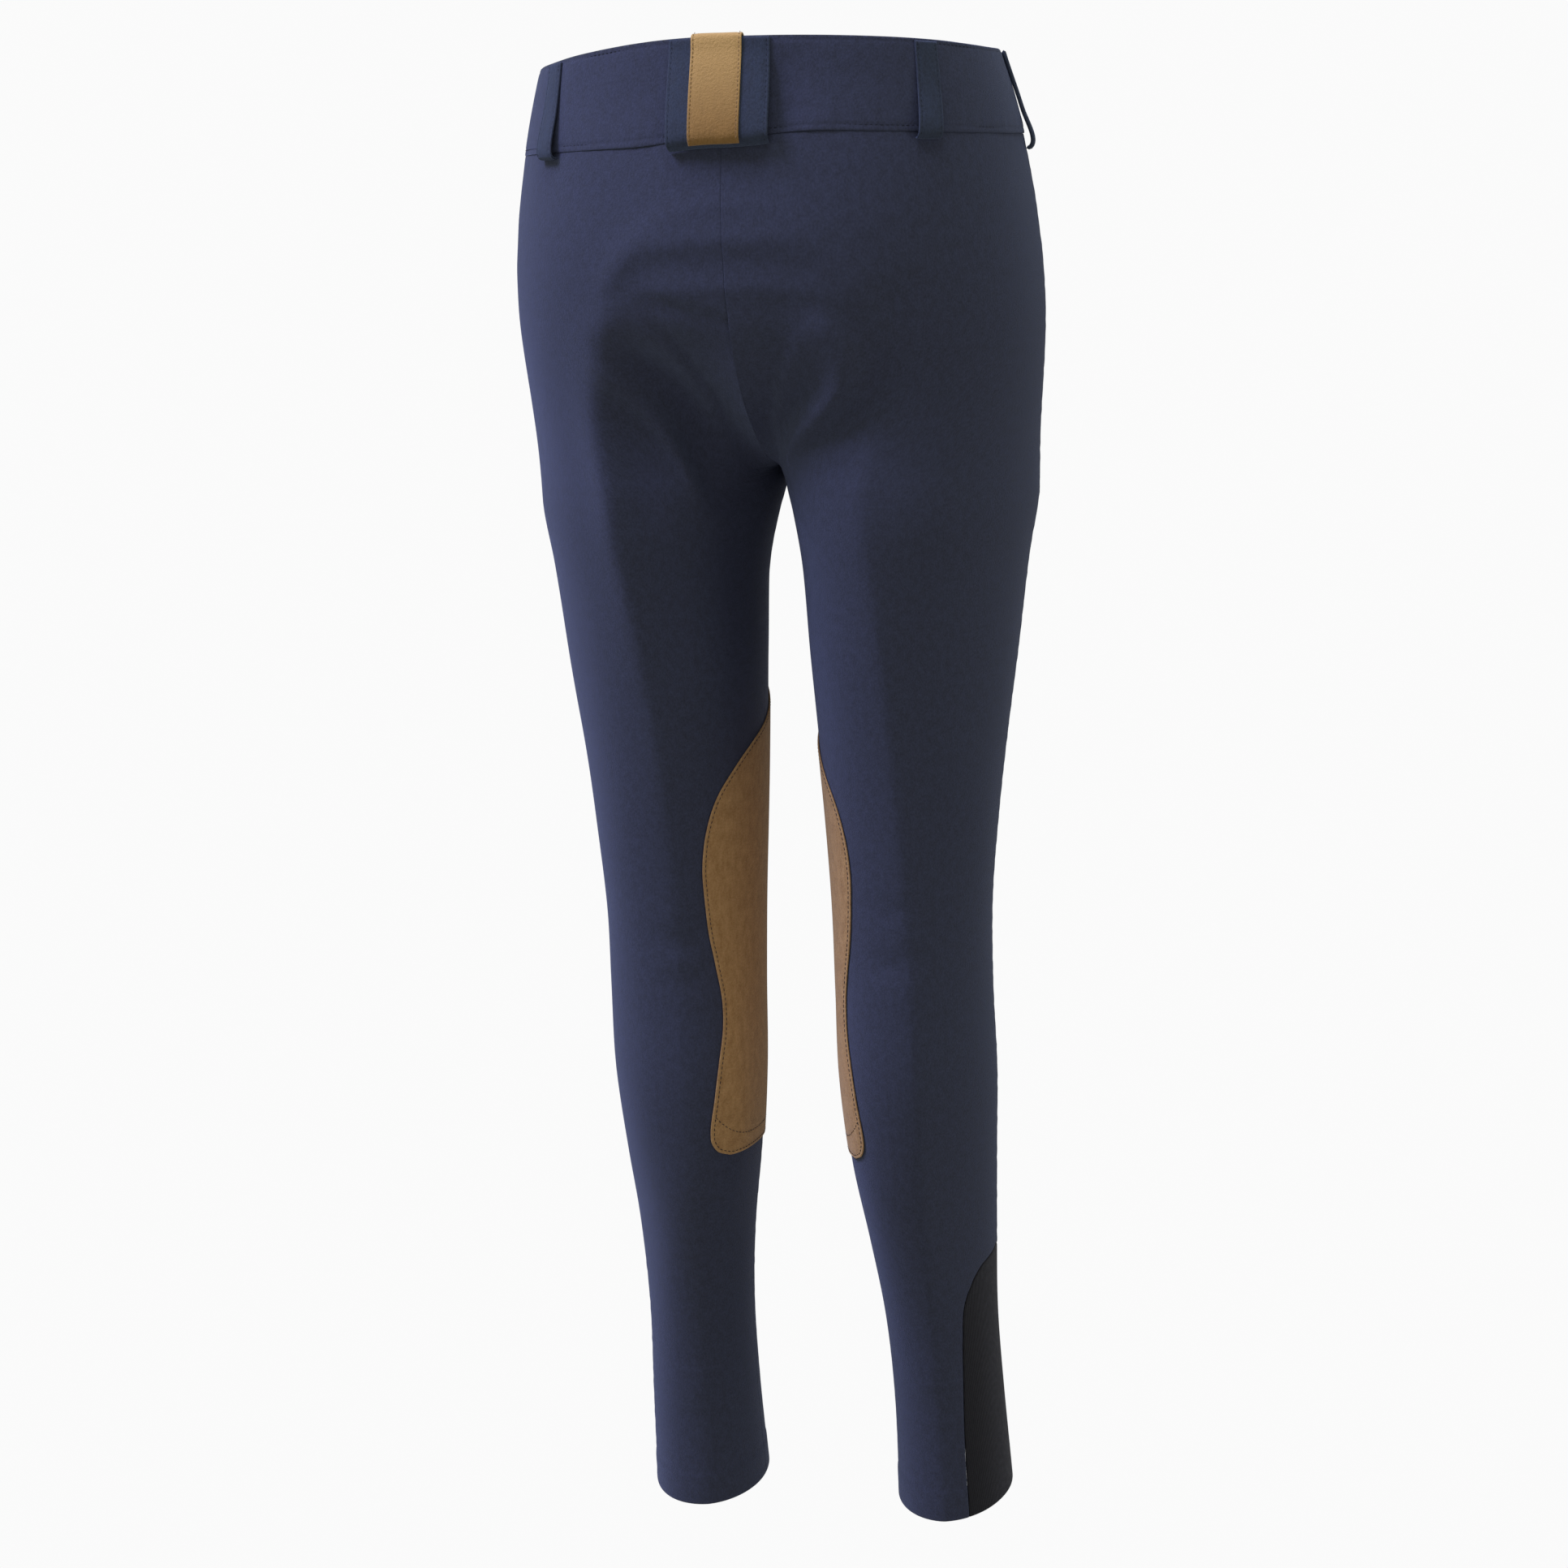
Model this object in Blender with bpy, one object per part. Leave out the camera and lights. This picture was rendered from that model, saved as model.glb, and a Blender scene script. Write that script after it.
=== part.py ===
"""Riding breeches, filled out as when worn: navy stretch cloth, tan knee patches, black calf gores.

Metres, +Z up.  X runs across the garment (+X is the wearer's right), -Y is the back, +Y the front.
The origin is the middle of the waist, level with the waistband's lower seam at the sides.

Each half of the garment is one surface, cloth_point(side, drop, around, out).  drop is how far a row
lies below the waistband seam at the outer side.  around goes from 0 at the centre back seam (the
inseam, on the leg) round the outside to 1 at the centre front seam (the inseam again).  out is the
distance outwards from the face of the cloth.
"""

import math
from collections import namedtuple

import bmesh
import bpy
from mathutils import Vector

# ---- driving dimensions ----------------------------------------------------------------------------
SEAM_GAP = 0.0003           # between two pieces that are sewn edge to edge
LAY_GAP = 0.0003            # between a panel and what is sewn on top of it
CLOTH = 0.0015              # stretch twill
BAND_CLOTH = 0.0026         # the waistband is doubled
BAND_PROUD = 0.0006         # how far the waistband stands out from the panels below it
SUEDE = 0.0011
CALF_CLOTH = 0.0013
LOOP_CLOTH = 0.0016
FLY_CLOTH = 0.0011

BAND_HEIGHT = 0.051         # at the sides; the back rises above this
CROTCH_START = 0.092        # drop where the centre seams leave the vertical
CROTCH = 0.200              # drop of the fork, where the four panels meet
HEM = 0.889                 # drop of the hem at the outer side
HEM_BACK_DIP = 0.008        # the hem is cut lower behind
HEM_SHAPED = 0.120          # how far above the hem the rows begin to follow its cut

# The waistband's seam and its rim both rise from front to back, and peak at the centre back.
SEAM_TILT, SEAM_PEAK = 0.0100, 0.0055
RIM_TILT, RIM_PEAK = 0.0110, 0.0135
# The waist sits askew, higher on the right, and its rim rises a little more at both sides.
ASKEW = 0.0043
SEAM_RAMP, RIM_RAMP = 0.13, 0.35    # around: how far from the centre back it has become askew
RIM_RISE = 0.0017

SIDE_SEAM = 0.54            # around
LEG_BACK = 0.25             # around, the pressed crease down the back of a leg
LEG_FRONT = 0.75
SQUARE_HIP = 0.035          # how far the hips bulge between the back and the side, as a share
FORK_SHARPNESS = 0.24       # how pointed the top of a leg is at the fork
FORK_FADE = 0.045           # how far down the leg that point lasts
LEG_START = 0.012           # how gently the legs begin to taper below the fork
SEAM_REACH = 0.20           # around: how far from the centre seams the cloth follows their curve
THIGH = 0.245               # drop where the seat has turned into two whole legs

# Whole-body sections, for the waistband and the seat.
HipRow = namedtuple("HipRow", "drop half_width back_depth front_depth")
HIP = [
    HipRow(-0.051, 0.1455, 0.1015, 0.0930),
    HipRow(-0.025, 0.1530, 0.1060, 0.0955),
    HipRow(0.000, 0.1590, 0.1118, 0.0985),
    HipRow(0.035, 0.1650, 0.1188, 0.1010),
    HipRow(0.055, 0.1672, 0.1212, 0.1018),
    HipRow(0.075, 0.1690, 0.1212, 0.1025),
    HipRow(0.115, 0.1698, 0.1165, 0.1025),
    HipRow(0.160, 0.1682, 0.1085, 0.1000),
    HipRow(0.200, 0.1640, 0.1005, 0.0960),
    HipRow(0.245, 0.1580, 0.0935, 0.0920),
]

# Sections of one leg: its middle, its reach outwards, backwards and forwards from there, and how far
# the section leans towards outer front and inner back, as a share.
LegRow = namedtuple("LegRow", "drop middle_x middle_y half_width back_depth front_depth skew")
LEG = [
    LegRow(0.200, 0.0812, -0.005, 0.0809, 0.0945, 0.0910, 0.030),
    LegRow(0.224, 0.0838, -0.007, 0.0768, 0.0900, 0.0885, 0.036),
    LegRow(0.262, 0.0840, -0.010, 0.0700, 0.0828, 0.0840, 0.040),
    LegRow(0.323, 0.0818, -0.014, 0.0644, 0.0735, 0.0765, 0.034),
    LegRow(0.376, 0.0796, -0.016, 0.0594, 0.0670, 0.0700, 0.014),
    LegRow(0.430, 0.0780, -0.019, 0.0548, 0.0610, 0.0640, -0.006),
    LegRow(0.484, 0.0768, -0.022, 0.0510, 0.0575, 0.0590, -0.006),
    LegRow(0.539, 0.0768, -0.025, 0.0498, 0.0570, 0.0555, 0.010),
    LegRow(0.595, 0.0775, -0.026, 0.0494, 0.0585, 0.0525, 0.035),
    LegRow(0.651, 0.0783, -0.024, 0.0452, 0.0545, 0.0500, 0.062),
    LegRow(0.707, 0.0808, -0.019, 0.0392, 0.0475, 0.0455, 0.080),
    LegRow(0.764, 0.0828, -0.014, 0.0355, 0.0425, 0.0425, 0.050),
    LegRow(0.821, 0.0842, -0.009, 0.0356, 0.0415, 0.0430, 0.018),
    LegRow(0.889, 0.0848, -0.004, 0.0374, 0.0440, 0.0460, 0.010),
]

# The largest folds.  Each runs through the stops (drop, around, height) as a soft ridge of the given
# half-width, on one side or, where side is 0, on both.
Fold = namedtuple("Fold", "side half_width stops")
FOLDS = [
    # pressed creases, back and front of the leg
    Fold(0, 0.016, ((0.150, 0.245, 0.0), (0.230, 0.248, 0.0016), (0.600, 0.25, 0.0020),
                    (0.889, 0.25, 0.0022))),
    Fold(0, 0.016, ((0.120, 0.745, 0.0), (0.230, 0.750, 0.0018), (0.889, 0.75, 0.0024))),
    # the arc over the seat and down its outer side
    Fold(0, 0.014, ((0.050, 0.0, 0.0018), (0.056, 0.09, 0.0024), (0.075, 0.142, 0.0022),
                    (0.112, 0.165, 0.0016), (0.145, 0.190, 0.0))),
    # drag lines towards the fork
    Fold(-1, 0.012, ((0.130, 0.170, 0.0), (0.162, 0.160, 0.0022), (0.190, 0.140, 0.0018),
                     (0.215, 0.135, 0.0))),
    Fold(1, 0.012, ((0.105, 0.142, 0.0), (0.130, 0.135, 0.0024), (0.158, 0.120, 0.0022),
                    (0.186, 0.090, 0.0))),
    # across the lap, in front
    Fold(-1, 0.011, ((0.140, 0.930, 0.0), (0.165, 0.880, 0.0020), (0.170, 0.820, 0.0))),
    Fold(1, 0.011, ((0.150, 0.935, 0.0), (0.176, 0.885, 0.0022), (0.172, 0.825, 0.0))),
    # behind the knee
    Fold(-1, 0.010, ((0.492, 0.13, 0.0), (0.500, 0.22, -0.0016), (0.490, 0.31, 0.0))),
    Fold(1, 0.010, ((0.505, 0.14, 0.0), (0.512, 0.24, -0.0016), (0.500, 0.33, 0.0))),
]

# The knee patch, in degrees from the inner side of the leg, positive towards the back.
PatchRow = namedtuple("PatchRow", "drop back_edge front_edge")
PATCH = [
    PatchRow(0.348, -33.0, -37.0),
    PatchRow(0.351, -30.0, -40.0),
    PatchRow(0.359, -15.0, -45.0),
    PatchRow(0.367, 0.0, -51.0),
    PatchRow(0.376, 15.0, -56.0),
    PatchRow(0.389, 30.0, -60.0),
    PatchRow(0.407, 45.0, -62.0),
    PatchRow(0.429, 54.0, -62.5),
    PatchRow(0.452, 57.7, -62.0),
    PatchRow(0.473, 57.0, -60.0),
    PatchRow(0.496, 54.5, -58.0),
    PatchRow(0.518, 50.0, -56.0),
    PatchRow(0.540, 46.4, -55.0),
    PatchRow(0.559, 47.0, -54.0),
    PatchRow(0.580, 51.0, -53.0),
    PatchRow(0.604, 55.0, -51.5),
    PatchRow(0.630, 58.5, -50.0),
    PatchRow(0.640, 54.0, -45.0),
    PatchRow(0.644, 45.0, -37.0),
]

# The stretch gore let into the outer calf: how far it reaches back and forward from the side seam.
GoreRow = namedtuple("GoreRow", "drop back_reach front_reach")
GORE = [
    GoreRow(0.715, 0.0000, 0.0000),
    GoreRow(0.719, 0.0240, 0.0200),
    GoreRow(0.725, 0.0870, 0.0670),
    GoreRow(0.736, 0.1330, 0.1040),
    GoreRow(0.750, 0.1650, 0.1280),
    GoreRow(0.770, 0.1790, 0.1380),
    GoreRow(0.800, 0.1930, 0.1490),
    GoreRow(0.835, 0.2040, 0.1570),
    GoreRow(0.889, 0.2080, 0.1600),
]

# On the left its back edge lies further forward.
LEFT_GORE_BACK = 0.38       # as a share of the right one's reach

# A belt loop's inner face, down its length: drop, and height over the waistband.
LoopStop = namedtuple("LoopStop", "drop lift")
CENTRE_PATH = [
    LoopStop(-0.0508, 0.0003),
    LoopStop(-0.0430, 0.0008),
    LoopStop(-0.0340, 0.0026),
    LoopStop(-0.0230, 0.0048),
    LoopStop(-0.0120, 0.0063),
    LoopStop(-0.0030, 0.0069),
    LoopStop(0.0020, 0.0066),
    LoopStop(0.0046, 0.0049),
    LoopStop(0.0078, -0.0002),
]
NARROW_PATH = [
    LoopStop(-0.0495, 0.0003),
    LoopStop(-0.0430, 0.0003),
    LoopStop(-0.0340, 0.0006),
    LoopStop(-0.0230, 0.0014),
    LoopStop(-0.0120, 0.0031),
    LoopStop(-0.0045, 0.0043),
    LoopStop(0.0002, 0.0044),
    LoopStop(0.0027, 0.0030),
    LoopStop(0.0030, -0.0002),
]
SIDE_LOOP_LONGER = 0.0049   # the side loops reach this much further down
LOOP_WIDTH = 0.0150
LOOP_BACK = 0.268           # around, at the waistband seam
LOOP_SIDE = 0.550
LOOP_LEAN = -0.45           # around for each metre down: the loops stand upright on the tapering band
CENTRE_LOOP_WIDTH = 0.0565
STRIPE_WIDTH = 0.0270
STRIPE_OVER_RIM = [LoopStop(-0.0518, -0.0016), LoopStop(-0.0521, 0.0006)]
STRIPE_END = 0.0060         # the strip stops at the last stop of the loop above this drop

LAP_END = 1.065             # around: the right half of the waistband laps over the left one
LAP_RISES = (0.972, 0.996)  # around, where the lap climbs on top
FLY_WIDTH = 0.036
FLY_LAP = 0.004             # beyond the centre front
FLY_TOP = 0.0010            # drop
FLY_BEND = 0.080            # drop where its edge starts to turn in
FLY_END = 0.1334            # it ends at the panels' last row above this
FLY_CORNER = 0.125          # one more row, to round the corner
BUTTON_RADIUS = 0.0085
BUTTON_THICKNESS = 0.0028
BUTTON_RIM = 0.0006
BUTTON_AROUND = 1.033
BUTTON_DROP = -0.026
BUTTON_SIDES = 24

# Rows and columns of the panels' grids.
SEAT_ROWS = (0.018, 0.034, 0.050, 0.066, 0.080)
FORK_ROWS = 8
THIGH_ROWS = (0.212, 0.228, 0.248, 0.270, 0.294, 0.322)     # the knee's rows are the patch's
CALF_ROWS = (0.668, 0.692)
INNER_COLUMNS = 6           # from the inseam to a crease
BACK_COLUMNS = 6            # from the crease to the side seam
FRONT_COLUMNS = 4
BAND_ROWS = (-0.034, -0.017)
BAND_COLUMNS = 24
GORE_COLUMNS = 7
GORE_TIP = 0.0012           # the gore's point starts this far below the top of its opening
PROBE = 0.002               # step for measuring the surface's slope, in drop and in around


# ---- the surface -----------------------------------------------------------------------------------
def ease(share):
    """0 to 1 with level ends."""
    share = min(max(share, 0.0), 1.0)
    return share * share * (3.0 - 2.0 * share)


def smooth(rows, column, drop):
    """A column of a table at any drop, on a smooth curve through its rows."""
    drops = [row.drop for row in rows]
    values = [getattr(row, column) for row in rows]
    drop = min(max(drop, drops[0]), drops[-1])
    last = len(rows) - 1
    k = max(i for i in range(last) if drops[i] <= drop)

    def slope(i):
        low, high = max(i - 1, 0), min(i + 1, last)
        return (values[high] - values[low]) / (drops[high] - drops[low])

    span = drops[k + 1] - drops[k]
    t = (drop - drops[k]) / span
    return ((2 * t**3 - 3 * t**2 + 1) * values[k] + (t**3 - 2 * t**2 + t) * span * slope(k)
            + (3 * t**2 - 2 * t**3) * values[k + 1] + (t**3 - t**2) * span * slope(k + 1))


def straight(rows, column, drop):
    """A column of a table at any drop, on straight lines between its rows."""
    drop = min(max(drop, rows[0].drop), rows[-1].drop)
    for upper, lower in zip(rows, rows[1:]):
        if drop <= lower.drop:
            share = (drop - upper.drop) / (lower.drop - upper.drop)
            return getattr(upper, column) * (1 - share) + getattr(lower, column) * share


def hip_section(drop, around):
    turn = math.pi * around
    swell = 1 + SQUARE_HIP * math.sin(2 * turn) ** 2 * (1.0 if around < 0.5 else 0.6)
    depth = smooth(HIP, "back_depth" if around < 0.5 else "front_depth", drop)
    x = smooth(HIP, "half_width", drop) * math.sin(turn) * swell
    return x, -depth * math.cos(turn) * swell


def leg_section(drop, around):
    below = max(drop - CROTCH, 0.0)
    drop = CROTCH + below * (1 - math.exp(-below / LEG_START))
    turn = 2 * math.pi * around
    from_inseam = 2 * math.pi * min(abs(around), abs(1 - around))
    point = (FORK_SHARPNESS * math.exp(-(drop - CROTCH) / FORK_FADE)
             * from_inseam * math.exp(-(from_inseam / 0.6) ** 2))
    lean = 1 + smooth(LEG, "skew", drop) * math.sin(2 * turn)
    depth = smooth(LEG, "back_depth" if math.sin(turn) > 0 else "front_depth", drop)
    x = smooth(LEG, "middle_x", drop) - smooth(LEG, "half_width", drop) * (lean * math.cos(turn) - point)
    return x, smooth(LEG, "middle_y", drop) - depth * lean * math.sin(turn)


def row_height(drop, around):
    """Z of a row: level, but for the cut of the waist and of the hem."""
    up = min(max(-drop / BAND_HEIGHT, 0.0), 1.0)
    to_back = math.cos(math.pi * around)
    tilt = SEAM_TILT + (RIM_TILT - SEAM_TILT) * up
    peak = SEAM_PEAK + (RIM_PEAK - SEAM_PEAK) * up
    waist = tilt * to_back + peak * max(to_back, 0.0) ** 2
    hem = HEM_BACK_DIP * math.sin(2 * math.pi * around)
    return (-drop + waist * (1 - ease(drop / CROTCH_START))
            - hem * ease((drop - HEM + HEM_SHAPED) / HEM_SHAPED))


def form_point(drop, around):
    """The right half without its folds.  Above the fork it goes on past the centre as its mirror."""
    if drop < CROTCH and not 0.0 <= around <= 1.0:
        across = form_point(drop, -around if around < 0.0 else 2.0 - around)
        return Vector((-across.x, across.y, across.z))
    inward = ease(min(abs(around), abs(1 - around)) / SEAM_REACH)
    whole_leg = CROTCH + (THIGH - CROTCH) * inward
    share = min(max((drop - CROTCH_START) / (whole_leg - CROTCH_START), 0.0), 1.0)
    at_seam = 1.0 - math.sqrt(1.0 - share * share)
    leg_share = at_seam + (ease(share) - at_seam) * math.sqrt(inward)
    hip_x, hip_y = hip_section(drop, around)
    leg_x, leg_y = leg_section(drop, around)
    return Vector((hip_x + (leg_x - hip_x) * leg_share,
                   hip_y + (leg_y - hip_y) * leg_share,
                   row_height(drop, around)))


def form_normal(drop, around):
    down = form_point(drop + PROBE, around) - form_point(drop - PROBE, around)
    along = form_point(drop, around + PROBE) - form_point(drop, around - PROBE)
    return down.cross(along).normalized()


def girth(drop):
    """Length of the row from around 0 to around 1."""
    if drop < CROTCH:
        return math.pi * (smooth(HIP, "half_width", drop) + smooth(HIP, "back_depth", drop)) / 2
    return math.pi * (smooth(LEG, "half_width", drop) + smooth(LEG, "back_depth", drop))


def fold_height(side, drop, around):
    if drop < CROTCH:
        around = abs(around) if around < 0.5 else 1 - abs(1 - around)
    else:
        around %= 1.0
    reach = girth(drop)
    total = 0.0
    for fold in FOLDS:
        if fold.side not in (0, side):
            continue
        nearest, height = None, 0.0
        for (drop_a, around_a, height_a), (drop_b, around_b, height_b) in zip(fold.stops, fold.stops[1:]):
            start = Vector((drop_a, around_a * reach))
            run = Vector((drop_b, around_b * reach)) - start
            here = Vector((drop, around * reach)) - start
            share = min(max(here.dot(run) / run.length_squared, 0.0), 1.0)
            distance = (here - run * share).length
            if nearest is None or distance < nearest:
                nearest, height = distance, height_a + (height_b - height_a) * share
        total += height * math.exp(-(nearest / fold.half_width) ** 2)
    return total


def askew(side, drop, around):
    """How far the waist is raised there."""
    if not 0.0 <= around <= 1.0 and drop < CROTCH:
        side, around = -side, (-around if around < 0.0 else 2.0 - around)
    up = min(max(-drop / BAND_HEIGHT, 0.0), 1.0)
    ramp = SEAM_RAMP + (RIM_RAMP - SEAM_RAMP) * up
    sideways = side * ASKEW * ease(around / ramp) * (1 - ease((around - 0.6) / 0.4))
    return (sideways + RIM_RISE * up * math.sin(math.pi * around)) * (1 - ease(drop / CROTCH_START))


def cloth_point(side, drop, around, out=0.0):
    point = form_point(drop, around)
    point += form_normal(drop, around) * (fold_height(side, drop, around) + out)
    return Vector((point.x * side, point.y, point.z + askew(side, drop, around)))


# ---- making solids ---------------------------------------------------------------------------------
def add_material(name, colour, roughness):
    material = bpy.data.materials.new(name)
    material.use_nodes = True
    shader = material.node_tree.nodes["Principled BSDF"]
    shader.inputs["Base Color"].default_value = (*colour, 1.0)
    shader.inputs["Roughness"].default_value = roughness
    shader.inputs["Metallic"].default_value = 0.0
    return material


def add_object(name, solid, material, collection):
    mesh = bpy.data.meshes.new(name)
    bmesh.ops.recalc_face_normals(solid, faces=solid.faces)
    if solid.calc_volume(signed=True) < 0:
        bmesh.ops.reverse_faces(solid, faces=solid.faces)
    solid.to_mesh(mesh)
    solid.free()
    mesh.materials.append(material)
    mesh.shade_smooth()
    mesh.set_sharp_from_angle(angle=math.radians(50))
    piece = bpy.data.objects.new(name, mesh)
    collection.objects.link(piece)
    return piece


def closed_wall(outer, inner):
    """A solid between two grids of points of the same shape; points that coincide are merged."""
    solid = bmesh.new()
    outside = [[solid.verts.new(point) for point in row] for row in outer]
    inside = [[solid.verts.new(point) for point in row] for row in inner]
    rows, columns = len(outer) - 1, len(outer[0]) - 1
    for i in range(rows):
        for j in range(columns):
            for sheet in (outside, inside):
                solid.faces.new((sheet[i][j], sheet[i + 1][j], sheet[i + 1][j + 1], sheet[i][j + 1]))
    rim = [(i, 0) for i in range(rows)] + [(rows, j) for j in range(columns)]
    rim += [(i, columns) for i in range(rows, 0, -1)] + [(0, j) for j in range(columns, 0, -1)]
    for (i, j), (k, m) in zip(rim, rim[1:] + rim[:1]):
        solid.faces.new((outside[i][j], outside[k][m], inside[k][m], inside[i][j]))
    bmesh.ops.remove_doubles(solid, verts=solid.verts, dist=1e-6)
    return solid


def cloth_wall(side, drops, columns_at, thickness, inner_face):
    """A piece of cloth on the surface.  inner_face(around) is where its inner side lies."""
    sheets = []
    for extra in (thickness, 0.0):
        sheets.append([[cloth_point(side, drop, around, inner_face(around) + extra)
                        for around in columns_at(drop)] for drop in drops])
    return closed_wall(*sheets)


def spread(start, end, count):
    return [start + (end - start) * i / count for i in range(count + 1)]


def half_gap(drop):
    """Half a seam gap, in around."""
    return SEAM_GAP / 2 / girth(drop)


# ---- pieces ----------------------------------------------------------------------------------------
def panel_drops():
    fork = [CROTCH_START + (CROTCH - CROTCH_START) * math.sin(math.pi / 2 * i / FORK_ROWS)
            for i in range(FORK_ROWS + 1)]
    knee = [row.drop for row in PATCH]
    return [SEAM_GAP / 2, *SEAT_ROWS, *fork, *THIGH_ROWS, *knee, *CALF_ROWS, GORE[0].drop, *gore_drops()]


def gore_drops():
    return [*[row.drop for row in GORE[1:-1]], (GORE[-2].drop + HEM) / 2, HEM]


def gore_reach(side, column, drop):
    share = LEFT_GORE_BACK if side < 0 and column == "back_reach" else 1.0
    return straight(GORE, column, drop) * share


def back_columns(side, drop):
    edge = SIDE_SEAM - gore_reach(side, "back_reach", drop) - half_gap(drop)
    return spread(half_gap(drop), LEG_BACK, INNER_COLUMNS) + spread(LEG_BACK, edge, BACK_COLUMNS)[1:]


def front_columns(side, drop):
    edge = SIDE_SEAM + gore_reach(side, "front_reach", drop) + half_gap(drop)
    return spread(edge, LEG_FRONT, FRONT_COLUMNS) + spread(LEG_FRONT, 1 - half_gap(drop), INNER_COLUMNS)[1:]


def panel(side, columns_at):
    return cloth_wall(side, panel_drops(), lambda drop: columns_at(side, drop), CLOTH, lambda around: -CLOTH)


def calf_gore(side):
    def columns_at(drop):
        back = gore_reach(side, "back_reach", drop - SEAM_GAP) - half_gap(drop)
        front = gore_reach(side, "front_reach", drop - SEAM_GAP) - half_gap(drop)
        if drop < GORE[1].drop:
            back = front = 0.0
        return spread(SIDE_SEAM - back, SIDE_SEAM + front, GORE_COLUMNS)

    drops = [GORE[0].drop + GORE_TIP, *gore_drops()]
    return cloth_wall(side, drops, columns_at, CALF_CLOTH, lambda around: -CALF_CLOTH)


def knee_patch(side):
    """It keeps to the panels' own columns, cut off at its outline."""
    def columns_at(drop):
        front, back = (straight(PATCH, edge, drop) / 360 for edge in ("front_edge", "back_edge"))
        return [min(max(place, front), back) for place in spread(-LEG_BACK, LEG_BACK, 2 * INNER_COLUMNS)]

    return cloth_wall(side, [row.drop for row in PATCH], columns_at, SUEDE, lambda around: LAY_GAP)


def waistband(side):
    """The right half ends in a lap that lies on the left half at the centre front."""
    drops = [-BAND_HEIGHT, *BAND_ROWS, -SEAM_GAP / 2]

    def columns_at(drop):
        if side < 0:
            return spread(half_gap(drop), 1 - half_gap(drop), BAND_COLUMNS)
        return spread(half_gap(drop), LAP_RISES[0], BAND_COLUMNS) + spread(LAP_RISES[1], LAP_END, 3)

    def inner_face(around):
        climb = (around - LAP_RISES[0]) / (LAP_RISES[1] - LAP_RISES[0]) if side > 0 else 0.0
        return BAND_PROUD - BAND_CLOTH + ease(climb) * (BAND_CLOTH + LAY_GAP)

    return cloth_wall(side, drops, columns_at, BAND_CLOTH, inner_face)


def fly(side):
    """The stitched lap over the zip, with its lower corner turned in as a J."""
    rows = [drop for drop in panel_drops() if FLY_TOP < drop < FLY_END]
    drops = [FLY_TOP, *rows[:-1], FLY_CORNER, rows[-1]]

    def columns_at(drop):
        turned = max(drop - FLY_BEND, 0.0) / (FLY_END - FLY_BEND)
        shape = math.sqrt(1.0 - turned ** 2) / girth(drop)
        near, far = 1 - FLY_WIDTH * shape, 1 + FLY_LAP * shape
        return [min(max(place, near), far) for place in spread(LEG_FRONT, 1 + LEG_BACK, 2 * INNER_COLUMNS)]

    return cloth_wall(side, drops, columns_at, FLY_CLOTH, lambda around: LAY_GAP)


def raised(path, height):
    """A strap's path moved away from the body by height, square to itself."""
    moved = []
    for k, stop in enumerate(path):
        before, after = path[max(k - 1, 0)], path[min(k + 1, len(path) - 1)]
        run = Vector((after.drop - before.drop, after.lift - before.lift)).normalized()
        moved.append(LoopStop(stop.drop - run.y * height, stop.lift + run.x * height))
    return moved


def strap(side, around, lean, width, path, thickness, columns):
    """A strap that follows path down the garment, from a place around it that moves by lean."""
    sheets = []
    for faced in (raised(path, thickness), path):
        sheets.append([])
        for stop in faced:
            middle, reach = around + lean * stop.drop, width / 2 / girth(stop.drop)
            sheets[-1].append([cloth_point(side, stop.drop, place, BAND_PROUD + stop.lift)
                               for place in spread(middle - reach, middle + reach, columns)])
    return closed_wall(*sheets)


def narrow_path(longer):
    return [LoopStop(stop.drop + (longer if stop.drop > -0.005 else 0.0), stop.lift) for stop in NARROW_PATH]


def stripe_path():
    laid = raised(CENTRE_PATH, LOOP_CLOTH + LAY_GAP)
    return STRIPE_OVER_RIM + [stop for stop, under in zip(laid, CENTRE_PATH) if under.drop < STRIPE_END]


def waist_button():
    solid = bmesh.new()
    bmesh.ops.create_cone(solid, cap_ends=True, segments=BUTTON_SIDES, radius1=BUTTON_RADIUS,
                          radius2=BUTTON_RADIUS, depth=BUTTON_THICKNESS)
    edges = [edge for edge in solid.edges if abs(edge.verts[0].co.z - edge.verts[1].co.z) < 1e-6]
    bmesh.ops.bevel(solid, geom=edges, offset=BUTTON_RIM, segments=2, affect="EDGES", profile=0.5)
    foot = cloth_point(1, BUTTON_DROP, BUTTON_AROUND, BAND_PROUD + BAND_CLOTH + 2 * LAY_GAP)
    normal = form_normal(BUTTON_DROP, BUTTON_AROUND)
    turn = normal.to_track_quat("Z", "Y").to_matrix().to_4x4()
    turn.translation = foot + normal * BUTTON_THICKNESS / 2
    bmesh.ops.transform(solid, matrix=turn, verts=solid.verts)
    return solid


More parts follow.
